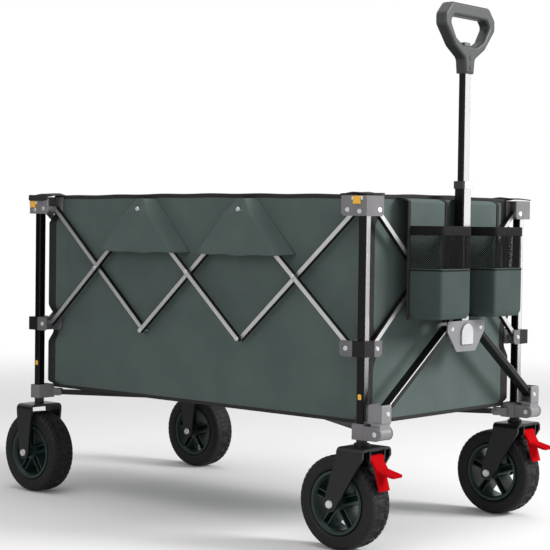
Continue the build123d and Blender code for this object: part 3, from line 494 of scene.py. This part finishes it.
BRACKET_LOW = low("corner_post_rear_right")[2]
for corner in CORNERS:
    paint(f"corner_post_{corner}", FRAME_BLACK, (BRACKET, above(PIVOT_TOP - 12 * MM)),
          (BRACKET, below(BRACKET_LOW + 28.5 * MM)), (ZINC, rivets))
    paint(f"slider_{corner}", SLIDER, (ZINC, rivets))
    paint(f"floor_bar_{corner}", BAR_EDGE, (ZINC, rivets))
    paint(f"wheel_{corner}", RIM)
for node in frame["nodes"]:
    if "_link_" in node:
        wide_axis = 1 if node.startswith(("right", "left")) else 0
        # painted reflection: the bars' wide faces take the light grey sheen material, their edges keep the
        # black coat
        paint(node, BAR_EDGE, (BAR_PAINTED_SHEEN, facing(wide_axis)), (ZINC, rivets))
paint("floor_hub", BAR_EDGE)
for flank in ("right", "left"):
    paint(f"strut_base_{flank}", PLATE, (ZINC, rivets))
    # painted highlight: the grey sheen material along the black strut's upper front edge
    paint(f"drawbar_strut_{flank}", BAR_EDGE, (BAR_PAINTED_SHEEN, painted_highlight_edge), (ZINC, rivets))
    paint(f"caster_fork_{flank}", FORK, (ZINC, bolt_heads))
    paint(f"rear_fork_{flank}", FORK, (ZINC, bolt_heads))
    paint(f"brake_pedal_{flank}", PEDAL)
BOSS_X = high("drawbar_plate")[0] - 3.4 * MM


def boss(faces, _normal):
    """The raised boss on the drawbar plate's front."""
    return faces[:, :, 0].min(1) > BOSS_X


paint("drawbar_plate", PLATE, (PALE, boss), (ZINC, rivets))
COLLAR_TALL = 14.5 * MM
paint("handle_outer_tube", FRAME_BLACK, (GRIP, above(high("handle_outer_tube")[2] - COLLAR_TALL)))
paint("handle_inner_tube", FRAME_BLACK)
paint("handle_grip", GRIP)
paint("grip_button", BUTTON)


# ------------------------------------------------------------------ fabric walls
SLIDER_Z = PIVOT_LOW
CORNER_ZONE = 48 * MM        # length of wall beside a post that the corner pulls outward
CORNER_PULL = 14 * MM


def pull(height):
    """Share of the corner's outward pull: none beside a bracket, slider or foot, full between."""
    free = smooth((height - BASE_Z - 7 * MM) / (7 * MM)) * smooth((PIVOT_TOP - 13 * MM - height) / (18 * MM))
    return free * smooth((np.abs(height - SLIDER_Z) - 16 * MM) / (26 * MM))


def corner_line(side, along, height, out):
    """Moves the wall's points near its two ends towards the posts.

    A side wall leans outward and an end wall grows longer, so that both meet in one corner.
    """
    reach = TUB_X if side in ("right", "left") else TUB_Y
    near = 1 - np.clip((reach - np.abs(along)) / CORNER_ZONE, 0, 1)
    if side in ("right", "left"):
        return along, out * (1 - smooth(near)) + CORNER_PULL * pull(height) * smooth(near)
    return along + np.sign(along) * CORNER_PULL * pull(height) * near, out * (1 - smooth(near))


def wall(side):
    """One wall of the tub as a grid over its length and height, in three pieces.

    It stands out a little in the middle, with folds that fan out from its four corners
    and fade within a hand's breadth, and low slanted waves over the rest.
    """
    long_side = side in ("right", "left")
    reach = TUB_X if long_side else TUB_Y
    steps = int(reach * 300)
    edge = 14
    along = np.concatenate([np.linspace(-reach, CORNER_ZONE - reach, edge)[:-1],
                            np.linspace(CORNER_ZONE - reach, reach - CORNER_ZONE, steps),
                            np.linspace(reach - CORNER_ZONE, reach, edge)[1:]])
    height = np.linspace(BASE_Z, RIM_Z, 110)
    along, height = np.meshgrid(along, height, indexing="ij")
    u, v = along / reach, (height - BASE_Z) / (RIM_Z - BASE_Z)
    swell = (2.2 if long_side else 1.4) * MM * (1 - u**2) * np.sin(math.pi * v) ** 0.7
    ripple = 0.8 * MM * waves(along, height, SIDES.index(side), 9, 0.16) * smooth(4 * v) * smooth(4 * (1 - v))
    fans = np.zeros_like(u)
    for end in (-1, 1):
        for top in (0, 1):
            across, rise = (end - u) * end * reach, (top - v) * (1 if top else -1) * (RIM_Z - BASE_Z)
            far = np.hypot(across, rise)
            fans += np.sin(9 * np.arctan2(rise, across + 1e-6)) * np.exp(-far / 0.07) * smooth(far / 0.03)
    out = swell + ripple + (1.1 if long_side else 0.7) * MM * fans
    moved, out = corner_line(side, along, height, out)
    points = on_side(side, moved, height, out)
    uv = np.stack([along, height], -1)
    pieces = {}
    first = edge - 1
    for name, rows in (("low", slice(0, first + 1)), ("mid", slice(first, first + steps)),
                       ("high", slice(first + steps - 1, None))):
        pieces[name] = surface(f"wall_{side}_{name}", points[rows], FABRIC, flip=side in ("left", "rear"),
                               thick=CLOTH, uv=uv[rows])
        pieces[name].modifiers["thickness"].use_rim = False
    return pieces


def gather_at_post(piece, corner):
    """The piece rides a post."""
    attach(piece, f"post_{corner}")
    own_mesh(piece)


ENDS = {"right": ("rear_right", "front_right"), "left": ("rear_left", "front_left"),
        "front": ("front_right", "front_left"), "rear": ("rear_right", "rear_left")}
RIM_TALL, BASE_TALL = 8.5 * MM, 7 * MM
RIM_TOP = RIM_Z + 3 * MM
for side in SIDES:
    long_side = side in ("right", "left")
    reach = TUB_X if long_side else TUB_Y
    pieces = wall(side)
    along = np.linspace(-reach + 3 * MM, reach - 3 * MM, 160)
    droop = 1.2 * MM * np.cos(math.pi * along / reach) + 0.5 * MM * np.sin(along / 0.021)
    path = on_side(side, along, RIM_TOP - RIM_TALL / 2 + droop, 0 * along - 1.2 * MM)
    rim = sweep(f"rim_binding_{side}", path, rounded(4.6 * MM, RIM_TALL, 1.8 * MM), outward(side), BINDING)
    path = on_side(side, along, BASE_Z + BASE_TALL / 2, 0 * along - 0.4 * MM)
    base = sweep(f"base_binding_{side}", path, rounded(3.6 * MM, BASE_TALL, 1.4 * MM), outward(side), BINDING)
    for piece in (pieces["mid"], rim, base):
        fold_with(piece, side)
    for end, corner in zip(("low", "high"), ENDS[side]):
        gather_at_post(pieces[end], corner)
    if side == "right":
        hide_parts("fabric_tub")


# ------------------------------------------------------------------ corners
STRIP = 15 * MM              # width of the corner binding on each face
BEND = 4 * MM


def corner_strip(corner):
    """Tape folded round a corner of the tub: straight, quarter turn, straight.

    It follows the pulled corner line: its plan moves outward along Y with `pull`.
    """
    sx, sy = CORNERS[corner]
    arm = np.linspace(1, 0, 9)
    turn = np.linspace(0, math.pi / 2, 6)
    inward_y = np.concatenate([arm * STRIP + BEND, BEND * (1 - np.sin(turn[1:])), np.zeros(8)])
    inward_x = np.concatenate([np.zeros(9), BEND * (1 - np.cos(turn[1:])), BEND + arm[::-1][1:] * STRIP])
    z = np.linspace(BASE_Z + 1 * MM, RIM_Z, 110)
    share = pull(z)[None, :]
    near_x = (1 - np.clip(inward_x / CORNER_ZONE, 0, 1))[:, None]
    near_y = (1 - np.clip(inward_y / CORNER_ZONE, 0, 1))[:, None]
    x = TUB_X + 0.7 * MM - inward_x[:, None] + 0 * share
    y = TUB_Y + 0.7 * MM - inward_y[:, None] + CORNER_PULL * share * np.minimum(smooth(near_x), near_y)
    points = np.stack(np.broadcast_arrays(sx * x, sy * y, z[None, :]), -1)
    piece = surface(f"corner_binding_{corner}", points, BINDING, flip=sx * sy < 0, thick=TAPE)
    gather_at_post(piece, corner)
    return piece


CAP_IN_X, CAP_IN_Y = 34 * MM, 4 * MM         # cap cloth inside the tub's corner
CAP_OUT_X, CAP_OUT_Y = 17.5 * MM, 17 * MM    # and outside the post's middle


def corner_cap(corner):
    """Cloth corner drawn over the top of a bracket: a low tent with a soft wave along its hem.

    At a rear corner the last fifth of the cloth hangs down over the bracket's outer face.
    """
    sx, sy = CORNERS[corner]
    top = high(f"corner_post_{corner}")[2]
    u, v = grid(40, 50)
    hang = 0.2 if sx < 0 else 0.0
    fall = np.clip((v - 1 + hang) / 0.2, 0, 1) * (hang > 0)
    v = np.clip(v / (1 - hang), 0, 1)
    x = TUB_X - CAP_IN_X + u * (POST_X - TUB_X + CAP_IN_X + CAP_OUT_X)
    y = TUB_Y - CAP_IN_Y + v * (POST_Y - TUB_Y + CAP_IN_Y + CAP_OUT_Y) + 0.3 * MM * fall
    hump = np.exp(-(((u - 0.42) / 0.28) ** 2))
    z = top + 1.0 * MM + 3.4 * MM * hump + 0.9 * MM * np.sin(6.5 * u + 2.0 * v + sx) + 1.2 * MM * (1 - v)
    z = z - fall * (9.0 * MM + 3.4 * MM * hump + 0.8 * MM * np.sin(9 * u + sx))
    points = np.stack([sx * x, sy * y, z], -1)
    piece = surface(f"corner_cap_{corner}", points, BINDING, flip=sx * sy < 0, thick=2.2 * MM)
    piece.modifiers["thickness"].offset = 1
    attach(piece, f"post_{corner}")
    return piece


for corner in CORNERS:
    corner_strip(corner)
    corner_cap(corner)


# ------------------------------------------------------------------ flaps over the top joints
FLAP_OUT = 38 * MM          # front of a flap, outward from the tub: clear of the rivet heads
FLAP_HALF = 115 * MM        # half its lower edge
FLAP_Z = PIVOT_TOP - 84 * MM
APEX_Z = RIM_Z - 6 * MM


def flap(side, number, middle):
    """Cloth tent over a top joint, a grid from its ridge end at the rim to its lower edge.

    Each level runs from the wall out round one bar, straight across, and back behind the
    other bar; the level widens evenly downward, and the hem waves a little.
    """
    u, v = grid(81, 50, -1, 1)
    half = 16 * MM + (FLAP_HALF - 16 * MM) * v
    front = FLAP_OUT * (0.72 + 0.28 * smooth(3 * v))
    plateau = smooth((1 - np.abs(u)) * (half + 20 * MM) / (15 * MM))
    out = 1.5 * MM + (front - 1.5 * MM) * plateau
    along = middle + u * (half + 5 * MM * (1 - plateau))
    dip = 3 * MM * (1 - u**2) * v + 1.0 * MM * np.sin(u * 9 + number) * v**4
    height = APEX_Z + (FLAP_Z - APEX_Z) * v - dip
    out = out + plateau * v * (0.9 * MM * waves(along, height, 20 + number, 7, 0.09))
    out = out - plateau * smooth(4 * v) * 3.0 * MM * (1 - np.abs(u)) * (1 - v)
    points = on_side(side, along, height, out)
    piece = surface(f"flap_{side}_{number}", points, FABRIC, flip=side == "right", thick=CLOTH)
    fold_with(piece, side)
    return piece


for side in ("right", "left"):
    for number, middle in enumerate((-UNIT / 2, UNIT / 2)):
        flap(side, number, middle)


# ------------------------------------------------------------------ floor and mat
MAT_LOW, MAT_HIGH = low("floor_mat"), high("floor_mat")
BOARDS = 4
STRIP_IN = 72 * MM          # where the outer strips of floor cloth meet the middle one
STRIPS = {                                   # side, body and fold anchor of each strip
    "right": (-1.0, "post_rear_right", (-POST_X, -POST_Y, 0)),
    "middle": (0.0, "floor_hub", (0, 0, 0)),
    "left": (1.0, "post_rear_left", (-POST_X, POST_Y, 0)),
}


def across_strip(name, v, reach):
    """Y over a strip: the outer strips run from STRIP_IN to the reach, the middle one between them."""
    sign = STRIPS[name][0]
    if sign:
        return sign * (STRIP_IN + v * (reach - STRIP_IN))
    return (2 * v - 1) * STRIP_IN


def fold_strip(piece, name):
    """An outer strip rides its post and the middle one the hub."""
    _, body, anchor = STRIPS[name]
    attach(piece, body)
    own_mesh(piece)
    return piece


def mat_strip(name):
    """Strip of the mat: stiff boards in a cloth cover, each with rolled edges, joined by creases."""
    u, v = grid(240, 50)
    x = MAT_LOW[0] + u * (MAT_HIGH[0] - MAT_LOW[0])
    y = across_strip(name, v, MAT_HIGH[1])
    board = (u * BOARDS) % 1
    edge = np.minimum(board, 1 - board) * (MAT_HIGH[0] - MAT_LOW[0]) / BOARDS
    edge = np.minimum(edge, MAT_HIGH[1] - np.abs(y))
    lift = np.sqrt(1 - (1 - np.clip(edge / (6 * MM), 0, 1)) ** 2)
    z = MAT_LOW[2] + 1.5 * MM + (MAT_HIGH[2] - MAT_LOW[2] - 1.5 * MM) * lift
    z = z + 0.3 * MM * waves(x, y, 31, 6, 0.12)
    points = np.stack([x, y, z], -1)
    piece = surface(f"floor_mat_{name}", points, LINING, flip=name == "right", thick=CLOTH)
    fold_strip(piece, name)
    return piece


def tub_floor(name):
    """Strip of the tub's bottom, stretched between the walls."""
    u, v = grid(120, 30)
    x = (2 * u - 1) * (TUB_X - 2 * MM)
    y = across_strip(name, v, TUB_Y - 2 * MM)
    z = BASE_Z + 1.6 * MM + 0 * u
    points = np.stack([x, y, z], -1)
    piece = surface(f"tub_floor_{name}", points, FABRIC, flip=name != "right", thick=CLOTH)
    fold_strip(piece, name)
    return piece


for name in STRIPS:
    tub_floor(name)
    mat = mat_strip(name)
    if name == "middle":
        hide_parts("floor_mat")


# ------------------------------------------------------------------ cup pockets
BAND_TALL = 17 * MM
POCKET_THICK = 0.9 * MM
MESH_SHARE = 0.53           # share of a pocket's height below the mesh
FRONT_HALF, BACK_HALF = 47 * MM, 55 * MM     # half widths of a pocket at its front and at its panel


def pocket(flank):
    """Cup pocket: back panel from the rim, black mesh and a fabric lower part on a boxy plan.

    Each skin is the plan's three-sided line, scaled a little with height and carried upward.
    """
    node = f"cup_pocket_{flank}"
    (x0, y0, z0), (x1, y1, z1) = low(node), high(node)
    top = z1 - 54 * MM
    middle = (y0 + y1) / 2
    middle -= math.copysign(4 * MM, middle)      # the pair sits a little nearer the handle
    depth = x1 - x0 - 2 * MM

    def plan(u, size):
        """Three folded sides: out from the panel, across the front, back; both folds are rounded.

        The outline is a trapezium, walked at even speed and evened out over a few millimetres.
        """
        corners = np.array([(0, -BACK_HALF), (depth, -FRONT_HALF), (depth, FRONT_HALF), (0, BACK_HALF)])
        runs = np.concatenate([[0], np.cumsum(np.linalg.norm(np.diff(corners, axis=0), axis=1))])
        shifts = np.linspace(-0.028, 0.028, 7)
        fade = np.minimum(1, np.minimum(u, 1 - u) / 0.05)
        walk = np.clip(u[..., None] + shifts * fade[..., None], 0, 1) * runs[-1]
        ahead = np.interp(walk, runs, corners[:, 0]).mean(-1)
        across = np.interp(walk, runs, corners[:, 1]).mean(-1)
        return x0 + 2 * MM + ahead * size, middle + across * size

    split = z0 + (top - z0) * MESH_SHARE
    made = []

    def skin(name, z_low, z_high, material, rows, size):
        u, v = grid(91, rows)
        z = z_low + v * (z_high - z_low)
        x, y = plan(u, size(z))
        return surface(f"{name}_{flank}", np.stack([x, y, z], -1), material, thick=POCKET_THICK)

    made.append(skin("pocket_mesh", split, top - BAND_TALL + 1 * MM, MESH, 24, lambda z: 0.985 + 0 * z))
    made.append(skin("pocket_lower", z0 + 2 * MM, split + 3 * MM, POCKET_CLOTH, 40,
                     lambda z: 0.99 - 0.08 * (1 - smooth((z - z0) / (18 * MM))) ** 2))
    # bottom: straight from the lower edge back to the panel
    u, v = grid(91, 12)
    x, y = plan(u, 0.91 + 0 * v)
    x = x0 + 2 * MM + (x - x0 - 2 * MM) * (1 - v)
    sag = 1.5 * MM * np.sin(math.pi * v)
    made.append(surface(f"pocket_bottom_{flank}", np.stack([x, y, z0 + 2 * MM - sag], -1),
                        POCKET_CLOTH, flip=True, thick=POCKET_THICK))
    turn = np.linspace(0, 1, 91)
    x, y = plan(turn, 0.985)
    path = np.stack([x, y, np.full_like(x, top - BAND_TALL / 2)], -1)
    normal = np.stack([np.gradient(y), -np.gradient(x), 0 * x], -1)
    made.append(sweep(f"pocket_band_{flank}", path, rounded(2.4 * MM, BAND_TALL, 1.1 * MM), normal, BAND))
    x, y = plan(turn, 0.995)
    path = np.stack([x, y, np.full_like(x, split)], -1)
    made.append(sweep(f"pocket_seam_{flank}", path, rounded(1.6 * MM, 2.4 * MM, 0.7 * MM), normal, BAND))
    # back panel: over the end bars from the rim, then straight down
    s = np.linspace(0, 1, 80)
    over = smooth(s / 0.12)
    px = TUB_X + 1.5 * MM + (x0 + 1 * MM - TUB_X - 1.5 * MM) * over
    pz = RIM_TOP - 8 * MM + 1.0 * MM * np.sin(math.pi * np.clip(s / 0.12, 0, 1)) - 6 * MM * over**3
    pz = pz - (pz[-1] - z0) * np.clip((s - 0.12) / 0.88, 0, 1)
    side_a, side_b = middle - BACK_HALF - 5 * MM, middle + BACK_HALF + 5 * MM
    py = np.linspace(side_a, side_b, 40)[:, None]
    points = np.stack(np.broadcast_arrays(px[None, :], py, pz[None, :]), -1)
    made.append(surface(f"pocket_panel_{flank}", points, FABRIC, flip=True, thick=CLOTH))
    for edge, y in (("a", side_a + 3 * MM), ("b", side_b - 3 * MM)):
        path = np.stack([px + 0.4 * MM, np.full_like(px, y), pz], -1)
        tape = rounded(8 * MM, 2.6 * MM, 1.1 * MM)
        made.append(sweep(f"pocket_edge_{edge}_{flank}", path, tape, (0, 1, 0), BINDING))
    for piece in made:
        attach(piece, f"post_front_{flank}")
        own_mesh(piece)
    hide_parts(node)
    return made


for flank in ("right", "left"):
    pocket(flank)


# ------------------------------------------------------------------ tyres
LUGS = 44                    # tread blocks round a tyre


def tyre(corner):
    """Tyre as a ring of a rounded-box section, cut by its tread.

    The section is a superellipse of exponent 4.5. Two grooves run round the crown in
    waves, slanted cuts leave them towards each shoulder, and short cuts cross the middle rib.
    """
    (x0, y0, z0), (x1, y1, z1) = low(f"tyre_{corner}"), high(f"tyre_{corner}")
    centre = np.array([(x0 + x1) / 2, (y0 + y1) / 2, (z0 + z1) / 2])
    outer, half = (x1 - x0) / 2, (y1 - y0) / 2
    inner = outer - 28 * MM
    mid, tall = (outer + inner) / 2, (outer - inner) / 2
    t, turn = grid(96, 660, 0, math.tau, 0, math.tau)
    t, turn = t[:-1, :-1], turn[:-1, :-1]
    power = 2 / 4.5
    across = half * np.sign(np.cos(t)) * np.abs(np.cos(t)) ** power
    radial = mid + tall * np.sign(np.sin(t)) * np.abs(np.sin(t)) ** power
    crown = smooth((radial - outer + 7 * MM) / (4 * MM))
    wave = 1.6 * MM * np.sin(turn * LUGS / 2)
    groove = sum(smooth(1.6 - np.abs(across - s * 8.5 * MM - wave) / (1.3 * MM)) for s in (-1, 1))
    pitch = turn * LUGS / math.tau
    slant = pitch + np.abs(across) / (14 * MM) * 0.8
    near = np.abs((slant + 0.5) % 1 - 0.5) * math.tau * outer / LUGS
    cuts = smooth(1.5 - near / (0.9 * MM)) * smooth((np.abs(across) - 10.5 * MM) / (1.5 * MM))
    lean = np.abs((pitch + across / (14 * MM) * 0.6 + 0.5) % 1 - 0.5) * math.tau * outer / LUGS
    rib = smooth(1.4 - lean / (0.7 * MM)) * smooth((5.5 * MM - np.abs(across)) / (1 * MM))
    radial = radial - crown * (2.8 * MM * np.clip(groove, 0, 1) + 1.8 * MM * cuts + 1.2 * MM * rib)
    points = centre + np.stack([radial * np.cos(turn), across, radial * np.sin(turn)], -1)
    points = np.concatenate([points, points[:1]])
    piece = surface(f"tread_{corner}", points, RUBBER, around=True)
    weld = piece.modifiers.new("join", "WELD")
    weld.merge_threshold = 0.01 * MM
    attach(piece, f"wheel_{corner}")
    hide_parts(f"tyre_{corner}")
    return piece


for corner in CORNERS:
    tyre(corner)


# ------------------------------------------------------------------ pull tabs and post snaps
TAB_HALF, TAB_TALL = 8.5 * MM, 14 * MM
MARK_Z = 275 * MM            # height of the yellow mark on a post


def pull_tab(corner):
    """Yellow tape at the top of a bracket, over a white strap end that shows on both sides."""
    sx, sy = CORNERS[corner]
    face = POST_Y + 16.5 * MM
    top = high(f"corner_post_{corner}")[2] - (9 if sx < 0 else 1) * MM
    tapes = (("strap_end", WHITE, 12.5 * MM, 6.5 * MM, 0.3 * MM),
             ("pull_tab", YELLOW, TAB_HALF, TAB_TALL, 1.3 * MM))
    for name, material, half, drop, proud in tapes:
        u, v = grid(13, 20, -1, 1)
        x = sx * POST_X - 5 * MM + u * half
        y = sy * (face + proud + 0.5 * MM * np.sin(math.pi * v) + 0 * u)
        z = top - v * drop + 0.3 * MM * np.cos(u * 3)
        piece = surface(f"{name}_{corner}", np.stack([x, y, z], -1), material, flip=sy < 0, thick=0.7 * MM)
        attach(piece, f"post_{corner}")


def post_snap(corner):
    """Small yellow mark plate let into the post's outer face, a rounded tile.

    Rings of a superellipse of exponent 5 rise 0.2 mm and close in the middle.
    """
    sx, sy = CORNERS[corner]
    turn = np.linspace(0, math.tau, 25)[:-1]
    power = 2 / 5
    reach = np.array([1.0, 1.0, 0.9, 0.0])[:, None]
    proud = np.array([0.0, 0.14, 0.19, 0.19])[:, None] * MM
    x = sx * POST_X + 4 * MM * reach * np.sign(np.cos(turn)) * np.abs(np.cos(turn)) ** power
    z = MARK_Z + 5 * MM * reach * np.sign(np.sin(turn)) * np.abs(np.sin(turn)) ** power
    y = sy * (POST_Y + 8.25 * MM - 0.05 * MM + proud + 0 * x)
    piece = surface(f"post_snap_{corner}", np.stack([x, y, z], -1), YELLOW, around=True, flip=sy > 0)
    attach(piece, f"post_{corner}")


for corner in CORNERS:
    pull_tab(corner)
    post_snap(corner)


# ------------------------------------------------------------------ studio
def plane(name, centre, facing_to, width, height, material):
    """Flat studio card that faces a point."""
    centre = Vector(centre)
    turn = (Vector(facing_to) - centre).to_track_quat("Z", "Y").to_matrix().to_4x4()
    w, h = width / 2, height / 2
    mesh = bpy.data.meshes.new(name)
    mesh.from_pydata([(-w, -h, 0), (w, -h, 0), (w, h, 0), (-w, h, 0)], [], [(0, 1, 2, 3)])
    mesh.transform(Matrix.Translation(centre) @ turn)
    mesh.materials.append(material)
    card = bpy.data.objects.new(name, mesh)
    bpy.context.scene.collection.objects.link(card)
    return card


def seen_white(tree):
    """Mix factor 1 for camera, glossy and transmission rays, which then see plain white."""
    path = add(tree, "LightPath")
    camera, glossy = path.outputs["Is Camera Ray"], path.outputs["Is Glossy Ray"]
    either = add(tree, "Math", {"operation": "MAXIMUM"}, {0: camera, 1: glossy})
    through = path.outputs["Is Transmission Ray"]
    return add(tree, "Math", {"operation": "MAXIMUM"}, {0: either.outputs[0], 1: through})


world = bpy.data.worlds.new("studio")
bpy.context.scene.world = world
world.use_nodes = True
tree = world.node_tree
ambient = tree.nodes["Background"]
ambient.inputs["Color"].default_value = (1, 1, 1, 1)
ambient.inputs["Strength"].default_value = 0.45
white = add(tree, "Background", {"Color": (1, 1, 1, 1), "Strength": 1.0})
sources = {0: seen_white(tree).outputs[0], 1: ambient.outputs[0], 2: white.outputs[0]}
both = add(tree, "MixShader", None, sources)
tree.links.new(both.outputs[0], tree.nodes["World Output"].inputs["Surface"])

# pale floor: it keeps the soft shadow near the wagon and turns plain white further off
floor_material, tree, shader = finish("pale_studio_floor", "#e9e9e9", 0.7, Specular_IOR_Level=0.0)
place = add(tree, "TexCoord").outputs["Object"]
away = add(tree, "VectorMath", {"operation": "LENGTH"}, {0: place})
NEAR, FAR = 1.4, 4.0         # the floor keeps its shade inside NEAR and is white beyond FAR
fading = {"From Min": NEAR, "From Max": FAR, "To Min": 0.04, "interpolation_type": "SMOOTHSTEP"}
fade = add(tree, "MapRange", fading, {"Value": away.outputs["Value"]})
seen = add(tree, "Math", {"operation": "MULTIPLY"}, {0: fade.outputs[0], 1: seen_white(tree).outputs[0]})
glow = add(tree, "Emission", {"Color": (1, 1, 1, 1), "Strength": 1.0})
both = add(tree, "MixShader", None, {0: seen.outputs[0], 1: shader.outputs[0], 2: glow.outputs[0]})
tree.links.new(both.outputs[0], tree.nodes["Material Output"].inputs["Surface"])
plane("floor", (0, 0, -0.0005), (0, 0, 5), 40, 40, floor_material)


def softbox(name, place, aim, width, height, power):
    """Rectangular area lamp, aimed at a point."""
    lamp = bpy.data.lights.new(name, "AREA")
    lamp.shape = "RECTANGLE"
    lamp.size, lamp.size_y = width, height
    lamp.energy = power
    made = bpy.data.objects.new(name, lamp)
    bpy.context.scene.collection.objects.link(made)
    made.location = place
    made.rotation_mode = "QUATERNION"
    made.rotation_quaternion = (Vector(aim) - Vector(place)).to_track_quat("-Z", "Y")
    return made


softbox("top", (0.3, -0.2, 3.2), (0, 0, 0.4), 3.0, 3.0, 45)
softbox("key_right_back", (3.0, 1.5, 2.0), (0.1, 0, 0.3), 1.2, 1.2, 130)
softbox("front", (0.6, -3.4, 1.6), (0.1, 0, 0.4), 1.6, 1.8, 25)
# tall strip that only the corner posts and handle tubes receive: it draws the light line down
# their black gloss, while the matt brackets on the same nodes take almost none of it
tubes = bpy.data.collections.new("glossy_black_tubes")
for node in frame["nodes"]:
    if node.startswith(("corner_post", "handle_outer", "handle_inner")):
        tubes.objects.link(frame["nodes"][node])
strip = softbox("strip_for_tubes", (2.5, 2.7, 0.9), (0.3, 0, 0.5), 2.2, 2.4, 480)
strip.visible_diffuse = False
strip.light_linking.receiver_collection = tubes

# black card at the rear left: the glossy tubes mirror it as a dark side
black_felt, _, _ = finish("black_felt_flag", "#000000", 1.0)
flag = plane("flag", (-2.45, -1.73, 0.6), (0, -0.25, 0.4), 1.8, 2.4, black_felt)
flag.visible_camera = False
flag.visible_diffuse = False
flag.visible_shadow = False

# ------------------------------------------------------------------ camera
CAMERA_AT = (2.1038, -2.3584, 0.5738)
TURN, DOWN, ROLL = math.radians(41.57), math.radians(1.83), math.radians(0.755)
forward = Vector((-math.sin(TURN) * math.cos(DOWN), math.cos(TURN) * math.cos(DOWN), -math.sin(DOWN)))
level = Vector((math.cos(TURN), math.sin(TURN), 0))
rise = level.cross(forward)
right = level * math.cos(ROLL) + rise * math.sin(ROLL)
up = right.cross(forward)
camera_data = bpy.data.cameras.new("camera")
camera_data.lens = 99.86
camera_data.sensor_width = 36
camera = bpy.data.objects.new("camera", camera_data)
bpy.context.scene.collection.objects.link(camera)
axes = Matrix((right, up, -forward)).transposed().to_4x4()
camera.matrix_world = Matrix.Translation(CAMERA_AT) @ axes
bpy.context.scene.camera = camera
bpy.context.scene.view_settings.view_transform = "Standard"
